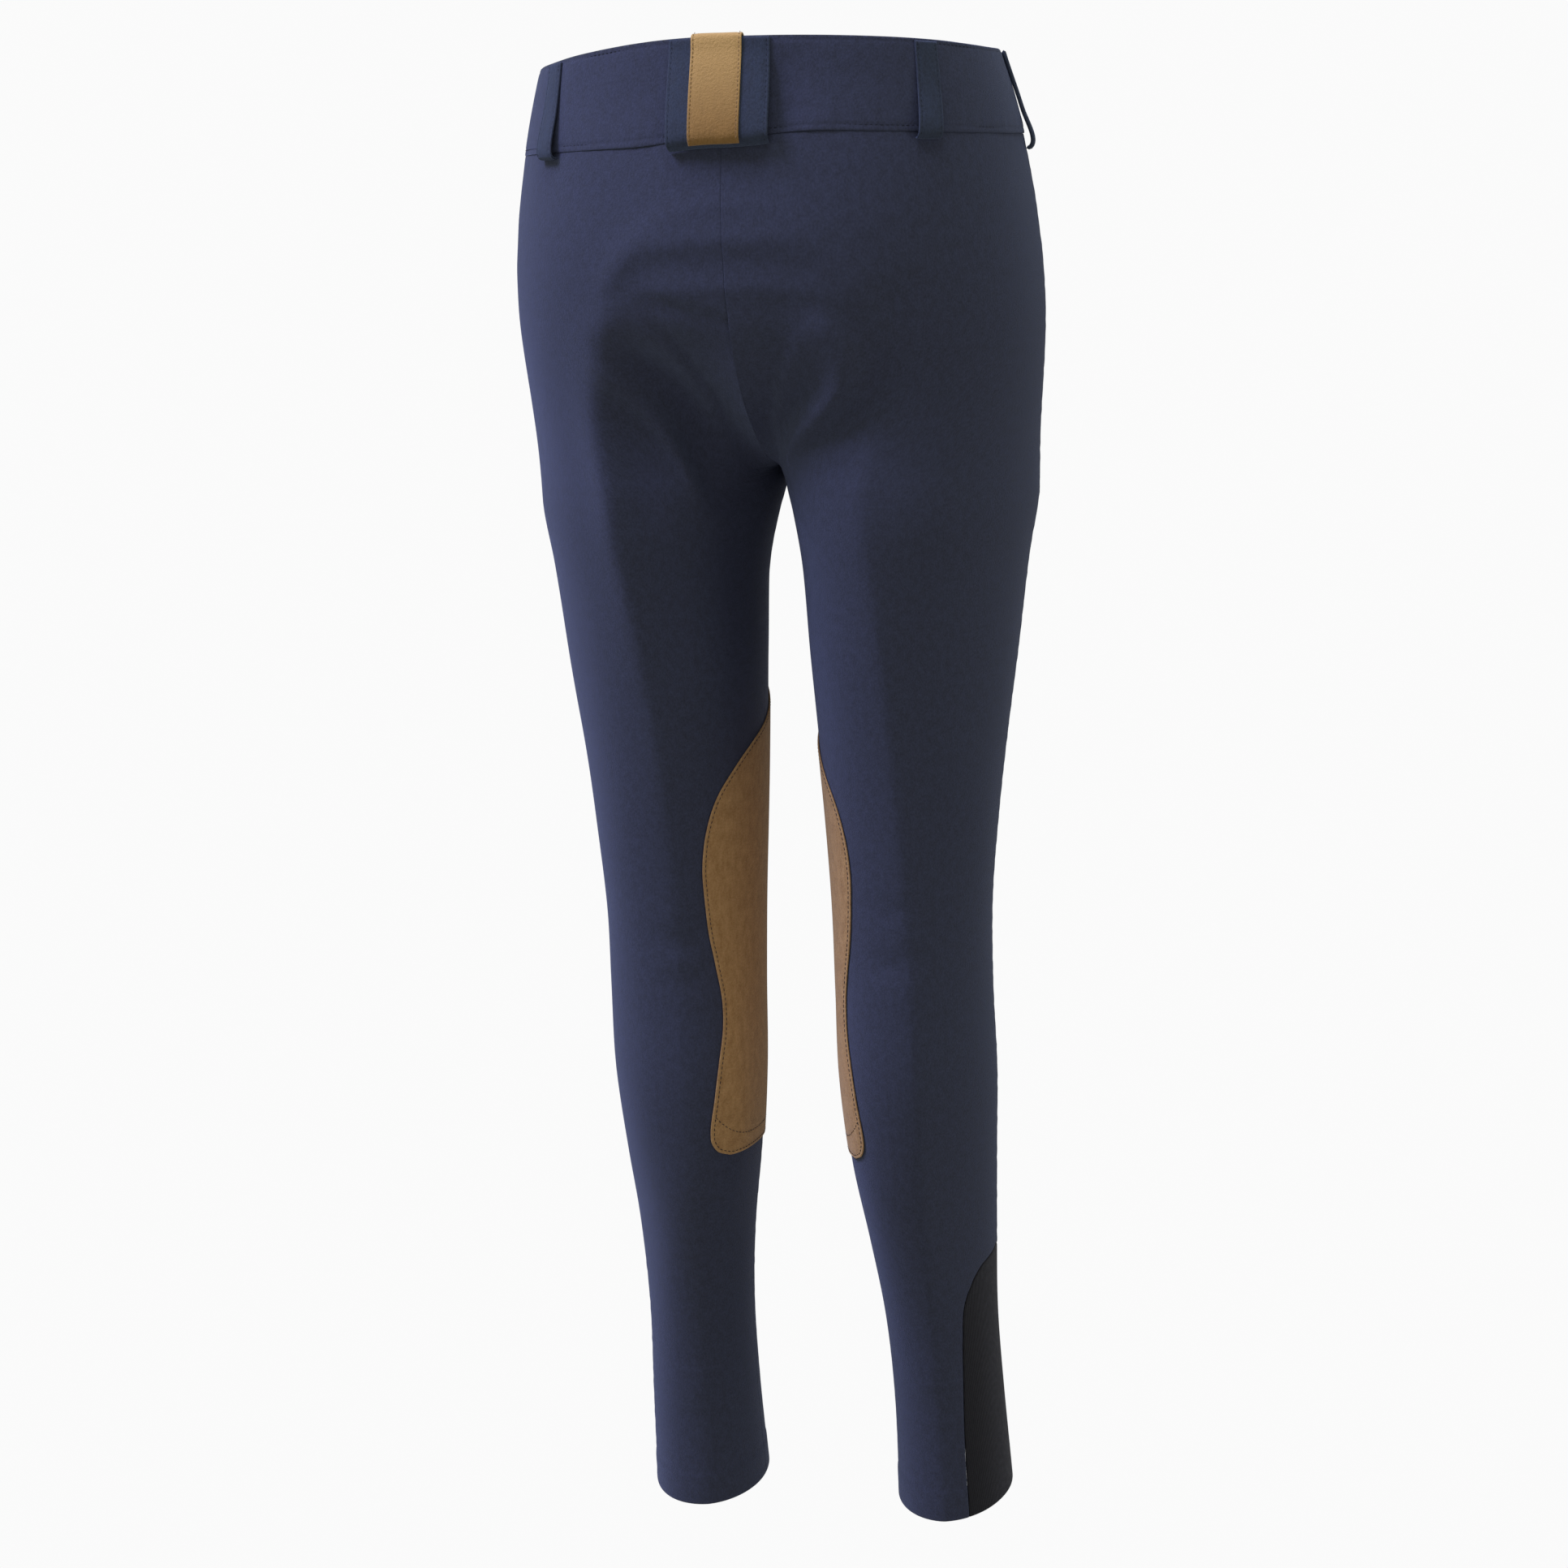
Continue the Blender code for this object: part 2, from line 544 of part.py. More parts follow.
def main():
    for thing in list(bpy.data.objects):
        bpy.data.objects.remove(thing, do_unlink=True)
    breeches = bpy.data.collections.new("riding_breeches")
    bpy.context.scene.collection.children.link(breeches)

    navy = add_material("navy_cloth", (0.034, 0.040, 0.075), 0.85)
    suede = add_material("tan_suede", (0.220, 0.125, 0.055), 0.90)
    stretch = add_material("black_stretch", (0.014, 0.013, 0.017), 0.70)
    horn = add_material("navy_button", (0.020, 0.022, 0.035), 0.35)

    for side, word in ((-1, "left"), (1, "right")):
        add_object("back_" + word, panel(side, back_columns), navy, breeches)
        add_object("front_" + word, panel(side, front_columns), navy, breeches)
        add_object("waistband_" + word, waistband(side), navy, breeches)
        add_object("knee_patch_" + word, knee_patch(side), suede, breeches)
        add_object("calf_gore_" + word, calf_gore(side), stretch, breeches)
        for place, around, longer in (("back", LOOP_BACK, 0.0), ("side", LOOP_SIDE, SIDE_LOOP_LONGER)):
            loop = strap(side, around, LOOP_LEAN, LOOP_WIDTH, narrow_path(longer), LOOP_CLOTH, 1)
            add_object("loop_" + place + "_" + word, loop, navy, breeches)
    centre = strap(1, 0.0, 0.0, CENTRE_LOOP_WIDTH, CENTRE_PATH, LOOP_CLOTH, 6)
    add_object("loop_centre", centre, navy, breeches)
    stripe = strap(1, 0.0, 0.0, STRIPE_WIDTH, stripe_path(), SUEDE, 4)
    add_object("loop_stripe", stripe, suede, breeches)
    add_object("fly", fly(1), navy, breeches)
    add_object("waist_button", waist_button(), horn, breeches)


main()
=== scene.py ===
# Dressing for a pair of riding breeches, filled out as when worn.
# Metres, +Z up, -Y is the back.  A place on the cloth is (side, drop, around): drop runs down from the
# waistband's seam, around runs from 0 at the centre back (the inseam, on a leg) round the outside to 1.
import math

import bmesh
import bpy
import numpy as np
from mathutils import Matrix, Vector


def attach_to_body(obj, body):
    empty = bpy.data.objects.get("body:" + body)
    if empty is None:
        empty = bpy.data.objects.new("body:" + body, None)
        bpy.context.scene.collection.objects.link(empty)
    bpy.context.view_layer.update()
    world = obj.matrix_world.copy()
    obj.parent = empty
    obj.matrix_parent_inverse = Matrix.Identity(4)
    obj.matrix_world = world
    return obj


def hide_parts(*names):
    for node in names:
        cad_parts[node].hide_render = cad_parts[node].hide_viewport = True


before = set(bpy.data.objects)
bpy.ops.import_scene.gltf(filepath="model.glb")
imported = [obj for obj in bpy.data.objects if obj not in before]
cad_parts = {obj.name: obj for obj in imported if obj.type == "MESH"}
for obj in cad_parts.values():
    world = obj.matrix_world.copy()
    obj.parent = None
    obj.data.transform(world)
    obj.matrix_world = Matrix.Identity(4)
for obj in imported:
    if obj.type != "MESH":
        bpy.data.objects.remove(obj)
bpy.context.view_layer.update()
print("frame loaded:", len(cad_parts), "nodes")


# the cut, as in the frame, but for the fork, which is closed here; the tables are in tenths of a millimetre
def table(columns, unit, *rows):
    return dict(zip(columns.split(), (np.array(rows, float) / unit).T))


cut = {
    "bandHeight": 0.051,
    "tilt": 0.0100, "peak": 0.0055,         # the waist's seam is higher behind, most in the middle
    "tiltRim": 0.0010, "peakRim": 0.0080,   # and the rim is so by this much more
    "askew": 0.0043,            # how much higher the waist stands on the right than in the middle
    "seamRamp": 0.13, "rimRamp": 0.35,      # in around: how far from the centre back that takes
    "askewEnd": 0.6,            # in around: from where on it fades
    "rimRise": 0.0017,          # how much higher the rim is at both sides
    "crotchStart": 0.092,       # where the centre seams leave the vertical
    "crotch": 0.200,            # the fork
    "thigh": 0.245,             # where the seat has turned into two legs
    "legStart": 0.012,
    "girthStart": 0.120, "girthTurn": 0.100,
    "seamReach": 0.20, "sideSeam": 0.54,    # in around
    "squareHip": 0.035, "squareFront": 0.6,
    "forkPoint": 0.24, "forkWidth": 0.6,    # how pointed the legs are at the fork, over which angle
    "forkFade": 0.045,          # and how far down
    "hem": 0.889, "hemDip": 0.008,          # lower behind
    "hemShaped": 0.120,
    "probe": 0.002,             # step for slopes
    "leftGoreBack": 0.38,       # how far the left gore reaches back, as a share of the right one
}
hipRows = table("drop halfWidth backDepth frontDepth", 10000,
    (-510, 1455, 1015, 930), (-250, 1530, 1060, 955), (0, 1590, 1118, 985), (350, 1650, 1188, 1010),
    (550, 1672, 1212, 1018), (750, 1690, 1212, 1025), (1150, 1698, 1165, 1025), (1600, 1682, 1085, 1000),
    (2000, 1640, 1005, 960), (2450, 1580, 935, 920))
legRows = table("drop middleX middleY halfWidth backDepth frontDepth skew", 10000,
    (2000, 808, -50, 809, 945, 910, 300), (2240, 838, -70, 768, 900, 885, 360),
    (2620, 840, -100, 700, 828, 840, 400), (3230, 818, -140, 644, 735, 765, 340),
    (3760, 796, -160, 594, 670, 700, 140), (4300, 780, -190, 548, 610, 640, -60),
    (4840, 768, -220, 510, 575, 590, -60), (5390, 768, -250, 498, 570, 555, 100),
    (5950, 775, -260, 494, 585, 525, 350), (6510, 783, -240, 452, 545, 500, 620),
    (7070, 808, -190, 392, 475, 455, 800), (7640, 828, -140, 355, 425, 425, 500),
    (8210, 842, -90, 356, 415, 430, 180), (8890, 848, -40, 374, 440, 460, 100))


def ease(share):
    share = np.clip(share, 0.0, 1.0)
    return share * share * (3.0 - 2.0 * share)


def softNoise(across, down, span, seed):
    # smooth unevenness between -1 and 1
    lattice = np.random.default_rng(seed).uniform(-1.0, 1.0, (64, 64))
    x, y = across / span + 17.3, down / span + 11.1
    i, j = np.floor(x).astype(int), np.floor(y).astype(int)
    u, v = ease(x - i), ease(y - j)

    def level(below):
        row = (j + below) % 64
        return lattice[i % 64, row] * (1 - u) + lattice[(i + 1) % 64, row] * u

    return level(0) * (1 - v) + level(1) * v


def bell(distance, width):
    return np.exp(-(distance / width) ** 2)


def smoothAt(rows, column, drop):
    # a column of a table on a smooth curve through its rows
    drops, values = rows["drop"], rows[column]
    drop = np.clip(drop, drops[0], drops[-1])
    count = len(drops)
    low, high = np.maximum(np.arange(count) - 1, 0), np.minimum(np.arange(count) + 1, count - 1)
    slopes = (values[high] - values[low]) / (drops[high] - drops[low])
    k = np.clip(np.searchsorted(drops, drop, side="right") - 1, 0, count - 2)
    span = drops[k + 1] - drops[k]
    t = (drop - drops[k]) / span
    return ((2 * t**3 - 3 * t**2 + 1) * values[k] + (t**3 - 2 * t**2 + t) * span * slopes[k]
            + (3 * t**2 - 2 * t**3) * values[k + 1] + (t**3 - t**2) * span * slopes[k + 1])


def arrays(*values):
    return np.broadcast_arrays(*(np.asarray(value, float) for value in values))


def hipSection(drop, around):
    turn = math.pi * around
    behind = around < 0.5
    swell = 1 + cut["squareHip"] * np.sin(2 * turn) ** 2 * np.where(behind, 1.0, cut["squareFront"])
    depth = np.where(behind, smoothAt(hipRows, "backDepth", drop), smoothAt(hipRows, "frontDepth", drop))
    return smoothAt(hipRows, "halfWidth", drop) * np.sin(turn) * swell, -depth * np.cos(turn) * swell


def legSection(drop, around):
    below = np.maximum(drop - cut["crotch"], 0.0)
    drop = cut["crotch"] + below * (1 - np.exp(-below / cut["legStart"]))
    turn = 2 * math.pi * around
    fromInseam = 2 * math.pi * np.minimum(np.abs(around), np.abs(1 - around))
    point = (cut["forkPoint"] * np.exp(-(drop - cut["crotch"]) / cut["forkFade"])
             * fromInseam * bell(fromInseam, cut["forkWidth"]))
    lean = 1 + smoothAt(legRows, "skew", drop) * np.sin(2 * turn)
    depth = np.where(np.sin(turn) > 0, smoothAt(legRows, "backDepth", drop),
                     smoothAt(legRows, "frontDepth", drop))
    x = smoothAt(legRows, "middleX", drop) - smoothAt(legRows, "halfWidth", drop) * (
        lean * np.cos(turn) - point)
    return x, smoothAt(legRows, "middleY", drop) - depth * lean * np.sin(turn)


def rowHeight(drop, around):
    # level rows, but for the cut of the waist and of the hem
    up = np.clip(-drop / cut["bandHeight"], 0.0, 1.0)
    toBack = np.cos(math.pi * around)
    tilt, peak = cut["tilt"] + cut["tiltRim"] * up, cut["peak"] + cut["peakRim"] * up
    waist = tilt * toBack + peak * np.maximum(toBack, 0.0) ** 2
    hem = cut["hemDip"] * np.sin(2 * math.pi * around)
    return (-drop + waist * (1 - ease(drop / cut["crotchStart"]))
            - hem * ease((drop - cut["hem"] + cut["hemShaped"]) / cut["hemShaped"]))


def overCentre(drop, around):
    # above the fork the cloth goes on past the centre as the mirror of its own side
    past = (drop < cut["crotch"]) & ((around < 0.0) | (around > 1.0))
    return past, np.where(past, np.where(around < 0.0, -around, 2.0 - around), around)


def formPoint(drop, around):
    # the right half
    drop, around = arrays(drop, around)
    past, place = overCentre(drop, around)
    inward = ease(np.minimum(np.abs(place), np.abs(1 - place)) / cut["seamReach"])
    wholeLeg = cut["crotch"] + (cut["thigh"] - cut["crotch"]) * inward
    share = np.clip((drop - cut["crotchStart"]) / (wholeLeg - cut["crotchStart"]), 0.0, 1.0)
    atSeam = 1.0 - np.sqrt(1.0 - share * share)
    legShare = atSeam + (ease(share) - atSeam) * np.sqrt(inward)
    hip, leg = hipSection(drop, place), legSection(drop, place)
    x, y = (ofHip + (ofLeg - ofHip) * legShare for ofHip, ofLeg in zip(hip, leg))
    return np.stack([np.where(past, -x, x), y, rowHeight(drop, place)], -1)


def formNormal(drop, around):
    step = cut["probe"]
    down = formPoint(drop + step, around) - formPoint(drop - step, around)
    along = formPoint(drop, around + step) - formPoint(drop, around - step)
    normal = np.cross(down, along)
    return normal / np.linalg.norm(normal, axis=-1, keepdims=True)


def askewHeight(side, drop, around):
    # how far the waist is raised there
    past, place = overCentre(drop, around)
    up = np.clip(-drop / cut["bandHeight"], 0.0, 1.0)
    ramp = cut["seamRamp"] + (cut["rimRamp"] - cut["seamRamp"]) * up
    sideways = (cut["askew"] * np.where(past, -side, side) * ease(place / ramp)
                * (1 - ease((place - cut["askewEnd"]) / (1 - cut["askewEnd"]))))
    return (sideways + cut["rimRise"] * up * np.sin(math.pi * place)) * (1 - ease(drop / cut["crotchStart"]))


def girth(drop):
    # length of a row from around 0 to around 1, half the body above and one leg below
    hip = math.pi * (smoothAt(hipRows, "halfWidth", drop) + smoothAt(hipRows, "backDepth", drop)) / 2
    leg = math.pi * (smoothAt(legRows, "halfWidth", drop) + smoothAt(legRows, "backDepth", drop))
    return hip + (leg - hip) * ease((drop - cut["girthStart"]) / cut["girthTurn"])


# folds, placed one by one; a stop is its drop in mm, its around in thousandths, its height in tenths of a mm
def fold(side, width, *stops, crest=2.0, sink=0.0, reach=30, held=100):
    # side 0 is both sides; a crest under 2 is a sharper ridge; sink is how deep the cloth falls away on
    # one flank, as a share of the height, and reach how far off it is deepest; from the drop named by held
    # on, the centre seam and the inseam hold the fold still
    down, around, height = (np.array(stops, float) / (1000, 1000, 10000)).T
    along = np.concatenate([[0.0], np.cumsum(np.hypot(np.diff(down), 0.45 * np.diff(around)))])
    rows = {"drop": along, "down": down, "around": around, "height": height}
    fine = np.linspace(0.0, along[-1], 4 * len(stops) - 3)
    line = np.stack([smoothAt(rows, column, fine) for column in ("down", "around", "height")], -1)
    return {"side": side, "width": width / 1000, "line": line, "crest": crest, "sink": sink,
            "reach": reach / 1000, "held": held / 1000}


folds = [
    # the band dips beside the centre loop
    fold(1, 11, (-47, 88, 0), (-36, 84, -13), (-14, 84, -13), (2, 88, 0)),
    # the crease down the back of each leg, which on the left runs up round the seat
    fold(-1, 13, (56, 125, 0), (72, 148, 12), (97.5, 152, 20), (130, 178, 24), (162, 224, 28),
         (205, 254, 28), (255, 245, 28), (340, 229, 24), (440, 219, 0), crest=1.3, sink=1.2, reach=28),
    fold(-1, 13, (340, 229, 0), (440, 219, 18), (520, 212, 12), (600, 205, 6), (717, 195, 5), (889, 207, 8),
         crest=1.3, sink=0.4, reach=28),
    fold(-1, 16, (85, 160, 0), (120, 186, 16), (165, 232, 23), (215, 253, 23), (280, 240, 12),
         (340, 230, 0), sink=3, reach=36),
    fold(1, 14, (150, 205, 0), (200, 222, 18), (305, 245, 26), (380, 262, 26), (500, 285, 22),
         (620, 288, 20), (740, 268, 18), (889, 262, 14), crest=1.3, sink=-0.7, reach=26),
    # and down the front
    fold(0, 16, (120, 745, 0), (230, 750, 22), (889, 750, 24), crest=1.2),
    # the arc over the seat
    fold(-1, 8, (52.5, 0, 13), (53.5, 60, 14), (57, 110, 14), (68, 138, 10), (82, 154, 0), sink=1.1,
         reach=14),
    fold(1, 8, (52.5, 0, 13), (53.5, 60, 12), (58, 105, 8), (70, 140, 0), sink=1.1, reach=14),
    # a shallower arc above it
    fold(-1, 7, (35.5, 0, 7), (41, 70, 8), (50, 120, 7), (62, 150, 0), sink=0.2, reach=8),
    fold(1, 7, (35.5, 0, 7), (38, 50, 7), (46, 95, 6), (56, 130, 0), sink=0.2, reach=8),
    # and a softer one under it, where the seat turns in
    fold(-1, 7, (77.5, 0, 6), (77.5, 60, 6), (79, 110, 6), (88, 140, 0), sink=5.2, reach=42, held=160),
    fold(1, 7, (77.5, 0, 6), (77.5, 60, 6), (80, 100, 4), (89, 130, 0), sink=5.2, reach=42, held=160),
    # right of the seat
    fold(1, 10, (60, 128, 0), (76, 150, 8), (99, 168, 10), (125, 185, 0), sink=-0.8, reach=16),
    # drag lines towards the fork
    fold(-1, 8, (116, 182, 0), (136, 170, 30), (166, 148, 44), (196, 135, 34), (230, 124, 0), sink=0.9,
         reach=16),
    fold(-1, 12, (100, 148, 0), (118, 140, -22), (145, 106, -36), (190, 104, -26), (225, 100, 0)),
    fold(1, 9, (90, 100, 0), (102, 114, 26), (119, 137, 46), (139, 143, 52), (156, 127, 50), (171, 97, 42),
         (188, 66, 20), (200, 50, 0), sink=-0.6, reach=20),
    fold(1, 8, (128, 90, 0), (146, 90, -14), (166, 50, -12), (184, 30, 0)),
    # the inner thigh is fuller on the left, just under the fork
    fold(-1, 18, (200, 20, 0), (208, 20, 30), (232, 20, 26), (275, 20, 0), held=1000),
    fold(-1, 18, (200, 980, 0), (208, 980, 30), (232, 980, 26), (275, 980, 0), held=1000),
    # across the lap, in front
    fold(-1, 10, (140, 940, 0), (163, 890, 26), (172, 820, 0), sink=0.5, reach=14),
    fold(-1, 8, (168, 950, 0), (186, 900, 22), (190, 850, 0), sink=0.5, reach=12),
    fold(1, 10, (150, 945, 0), (176, 885, 28), (174, 815, 0), sink=0.5, reach=14),
    fold(1, 7, (120, 960, 0), (132, 900, 18), (130, 850, 0), sink=0.5, reach=12),
    # behind each knee, and over it in front
    fold(-1, 9, (492, 130, 0), (500, 210, -14), (490, 310, 0)),
    fold(-1, 7, (522, 150, 0), (527, 200, -9), (518, 270, 0)),
    fold(1, 9, (505, 140, 0), (512, 240, -14), (500, 330, 0)),
    fold(1, 7, (470, 180, 0), (476, 250, -8), (470, 310, 0)),
    fold(0, 10, (470, 660, 0), (484, 740, -10), (474, 840, 0)),
    # the left calf is fuller behind
    fold(-1, 26, (520, 130, 0), (580, 130, 30), (660, 130, 28), (725, 140, 0)),
    # slight slackness above the hem
    fold(-1, 12, (800, 100, 0), (812, 220, 9), (806, 360, 0)),
    fold(1, 12, (780, 120, 0), (794, 260, 9), (786, 360, 0)),
]

# how far from a seam the hold fades, at least and as a share of the fold's reach, and over which drop it
# sets in
seamMake = {"fade": 0.036, "width": 0.016, "share": 1.2}


def foldHeight(side, drop, around):
    drop, around = arrays(drop, around)
    over = np.where(around < 0.5, np.abs(around), 1 - np.abs(1 - around))
    place = np.where(drop < cut["crotch"], over, around % 1.0)
    side = np.where(overCentre(drop, around)[0], -side, side)
    reach = girth(drop)
    fromSeam = np.minimum(place, 1 - place) * reach
    total = np.zeros(drop.shape)
    for crease in folds:
        nearest, height, flank = np.full(drop.shape, np.inf), np.zeros(drop.shape), np.zeros(drop.shape)
        for (dropA, aroundA, heightA), (dropB, aroundB, heightB) in zip(crease["line"], crease["line"][1:]):
            runDown, runAcross = dropB - dropA, (aroundB - aroundA) * reach
            down, across = drop - dropA, (place - aroundA) * reach
            share = np.clip((down * runDown + across * runAcross) / (runDown**2 + runAcross**2), 0.0, 1.0)
            distance = np.hypot(down - runDown * share, across - runAcross * share)
            closer = distance < nearest
            nearest = np.where(closer, distance, nearest)
            height = np.where(closer, heightA + (heightB - heightA) * share, height)
            flank = np.where(closer, down * runAcross - across * runDown, flank)
        away = np.sqrt((nearest / crease["width"]) ** 2 + 0.01) - 0.1
        shape = np.exp(-away ** crease["crest"])
        if crease["sink"]:
            off = np.where(flank * crease["sink"] > 0, nearest, 0.0) / crease["reach"]
            shape = shape - abs(crease["sink"]) * off * np.exp(1 - off)
        atSeam = 1 - ease(fromSeam / max(seamMake["width"], seamMake["share"] * crease["reach"]))
        shape = shape * (1 - ease((drop - crease["held"]) / seamMake["fade"]) * atSeam)
        total += np.where((crease["side"] == 0) | (side == crease["side"]), height * shape, 0.0)
    return total + drapeHeight(side, drop, around, place * reach)


drape = {"height": 0.0006, "across": 0.042, "down": 0.070, "fade": 0.030}


def drapeHeight(side, drop, around, across):
    # the slight unevenness of cloth that is worn; seams and edges hold it still
    toSeam = np.minimum(np.abs(around % 1.0 - cut["sideSeam"]), np.minimum(around % 1.0, 1 - around % 1.0))
    held = ease(toSeam * girth(drop) / drape["fade"]) * ease(drop / drape["fade"])
    wave = softNoise(across + 0.5 * side, drop * drape["across"] / drape["down"], drape["across"], 3)
    return drape["height"] * wave * held


def clothPoint(side, drop, around, out=0.0):
    # a point at a height above the face of the cloth, and the cloth's direction there
    drop, around = arrays(drop, around)
    mirror = np.array([side, 1.0, 1.0])
    point, normal = formPoint(drop, around), formNormal(drop, around)
    point = (point + normal * (foldHeight(side, drop, around) + out)[..., None]) * mirror
    point[..., 2] += askewHeight(side, drop, around)
    return point, normal * mirror


# meshes from grids
def newObject(name, data):
    piece = bpy.data.objects.new(name, data)
    bpy.context.scene.collection.objects.link(piece)
    return piece


def meshObject(name, built):
    mesh = bpy.data.meshes.new(name)
    built.to_mesh(mesh)
    built.free()
    return newObject(name, mesh)


def applyModifiers(piece):
    piece.data = bpy.data.meshes.new_from_object(
        piece.evaluated_get(bpy.context.evaluated_depsgraph_get()))
    piece.modifiers.clear()


def shellObject(name, outer, inner, uv, wear, material, sharpAngle=60):
    # a closed wall between two grids of points; uv is in metres of cloth, and the edge mask, 0 to 1, marks
    # worn edges and painted shade along the waistband's rim
    rows, columns = outer.shape[:2]
    count = rows * columns
    index = np.arange(count).reshape(rows, columns)
    quads = np.stack([index[:-1, :-1], index[1:, :-1], index[1:, 1:], index[:-1, 1:]], -1).reshape(-1, 4)
    rim = np.concatenate([index[:-1, 0], index[-1, :-1], index[:0:-1, -1], index[0, :0:-1]])
    following = np.roll(rim, -1)
    walls = np.stack([rim, rim + count, following + count, following], -1)
    faces = np.concatenate([quads, quads[:, ::-1] + count, walls])
    mesh = bpy.data.meshes.new(name)
    points = np.concatenate([outer.reshape(-1, 3), inner.reshape(-1, 3)])
    mesh.from_pydata(points.tolist(), [], faces.tolist())
    layer = mesh.uv_layers.new(name="cloth")
    corners = np.concatenate([uv.reshape(-1, 2), uv.reshape(-1, 2)])[faces.reshape(-1)]
    layer.data.foreach_set("uv", corners.astype(np.float32).reshape(-1))
    worn = mesh.attributes.new("wear", "FLOAT", "POINT")
    worn.data.foreach_set("value", np.concatenate([wear.reshape(-1), wear.reshape(-1)]).astype(np.float32))
    whole = bmesh.new()
    whole.from_mesh(mesh)
    bmesh.ops.remove_doubles(whole, verts=whole.verts, dist=1e-6)
    bmesh.ops.recalc_face_normals(whole, faces=whole.faces)
    if whole.calc_volume(signed=True) < 0:
        bmesh.ops.reverse_faces(whole, faces=whole.faces)
    whole.to_mesh(mesh)
    whole.free()
    mesh.materials.append(material)
    mesh.shade_smooth()
    mesh.set_sharp_from_angle(angle=math.radians(sharpAngle))
    return newObject(name, mesh)


edgeSteps = np.array([0.0, 0.0002, 0.0005, 0.0009, 0.0014, 0.0021, 0.0032])


def edgedSpread(start, end, count, reach):
    # columns from start to end, closer together near both edges; reach turns them into metres
    start, end = np.atleast_1d(start)[:, None], np.atleast_1d(end)[:, None]
    reach = np.atleast_1d(reach)[:, None]
    near = edgeSteps / reach * np.minimum(1.0, (end - start) * reach / (3 * edgeSteps[-1]))
    middle = np.linspace(0.0, 1.0, count + 1)[1:-1]
    first, last = start + near, end - near[:, ::-1]
    return np.concatenate([first, first[:, -1:] + (last[:, :1] - first[:, -1:]) * middle, last], 1)


def roll(distance, depth, width):
    # how far a rounded edge falls away
    near = np.clip(1.0 - distance / width, 0.0, 1.0)
    return depth * (1.0 - np.sqrt(1.0 - near**2))


def pucker(place, period, height):
    # the small uneven gathers along a sewn line
    turn = 2 * math.pi * place
    return height * (np.sin(turn / period) + 0.6 * np.sin(turn / (period * 1.63) + 1.3)
                     + 0.5 * np.sin(turn / (period * 0.71) + 2.1)) / 2.1


# materials
def addNode(tree, kind, inputs=None, **settings):
    # a value that is a socket is linked, any other is set
    made = tree.nodes.new(kind)
    for name, value in settings.items():
        setattr(made, name, value)
    for name, value in (inputs or {}).items():
        if isinstance(value, bpy.types.NodeSocket):
            tree.links.new(value, made.inputs[name])
        else:
            made.inputs[name].default_value = value
    return made.outputs


def calc(tree, operation, *values):
    return addNode(tree, "ShaderNodeMath", dict(enumerate(values)), operation=operation)[0]


def times(tree, first, second):
    return calc(tree, "MULTIPLY", first, second)


def plus(tree, first, second):
    return calc(tree, "ADD", first, second)


def remap(tree, value, low, high, toLow=0.0, toHigh=1.0):
    return addNode(tree, "ShaderNodeMapRange", dict(enumerate((value, low, high, toLow, toHigh))))["Result"]


def tint(tree, share, low, high):
    return addNode(tree, "ShaderNodeMix", {0: share, 6: low, 7: high}, data_type="RGBA",
                   clamp_factor=True)[2]


def noise(tree, place, scale, detail, **more):
    return addNode(tree, "ShaderNodeTexNoise", {"Vector": place, "Scale": scale, "Detail": detail,
                                                **more})["Fac"]


def stretched(tree, place, by):
    return addNode(tree, "ShaderNodeVectorMath", {0: place, 1: by}, operation="MULTIPLY")[0]


def split(tree, place):
    return addNode(tree, "ShaderNodeSeparateXYZ", {0: place})


def shaderGroup(name, inputs, outputs):
    tree = bpy.data.node_groups.new(name, "ShaderNodeTree")
    for label, kind, value in inputs:
        socket = tree.interface.new_socket(label, in_out="INPUT", socket_type="NodeSocket" + kind)
        if value is not None:
            socket.default_value = value
    for label in outputs:
        tree.interface.new_socket(label, in_out="OUTPUT", socket_type="NodeSocketFloat")
    return tree, tree.nodes.new("NodeGroupInput").outputs, tree.nodes.new("NodeGroupOutput").inputs


def makeTwillWeave():
    # slanting ribs of yarn with the cross yarns showing between them
    tree, given, result = shaderGroup(
        "twillWeave", [("Place", "Vector", None), ("Pitch", "Float", 0.0005), ("Unevenness", "Float", 0.3)],
        ["Height", "Tone"])
    x, y, z = split(tree, given["Place"])
    turn = calc(tree, "DIVIDE", 2 * math.pi, given["Pitch"])
    ribs = calc(tree, "SINE", times(tree, plus(tree, x, y), turn))
    yarns = times(tree, calc(tree, "SINE", times(tree, calc(tree, "SUBTRACT", x, y), turn)), 0.4)
    slubs = noise(tree, stretched(tree, given["Place"], (1.0, 0.45, 1.0)), 900.0, 3.0, Roughness=0.7)
    uneven = times(tree, calc(tree, "SUBTRACT", slubs, 0.5), given["Unevenness"])
    height = plus(tree, plus(tree, ribs, yarns), times(tree, uneven, 6.0))
    tree.links.new(plus(tree, times(tree, height, 0.3), 0.5), result["Height"])
    tone = plus(tree, times(tree, ribs, 0.12), uneven)
    tree.links.new(remap(tree, tone, -0.25, 0.25), result["Tone"])
    return tree


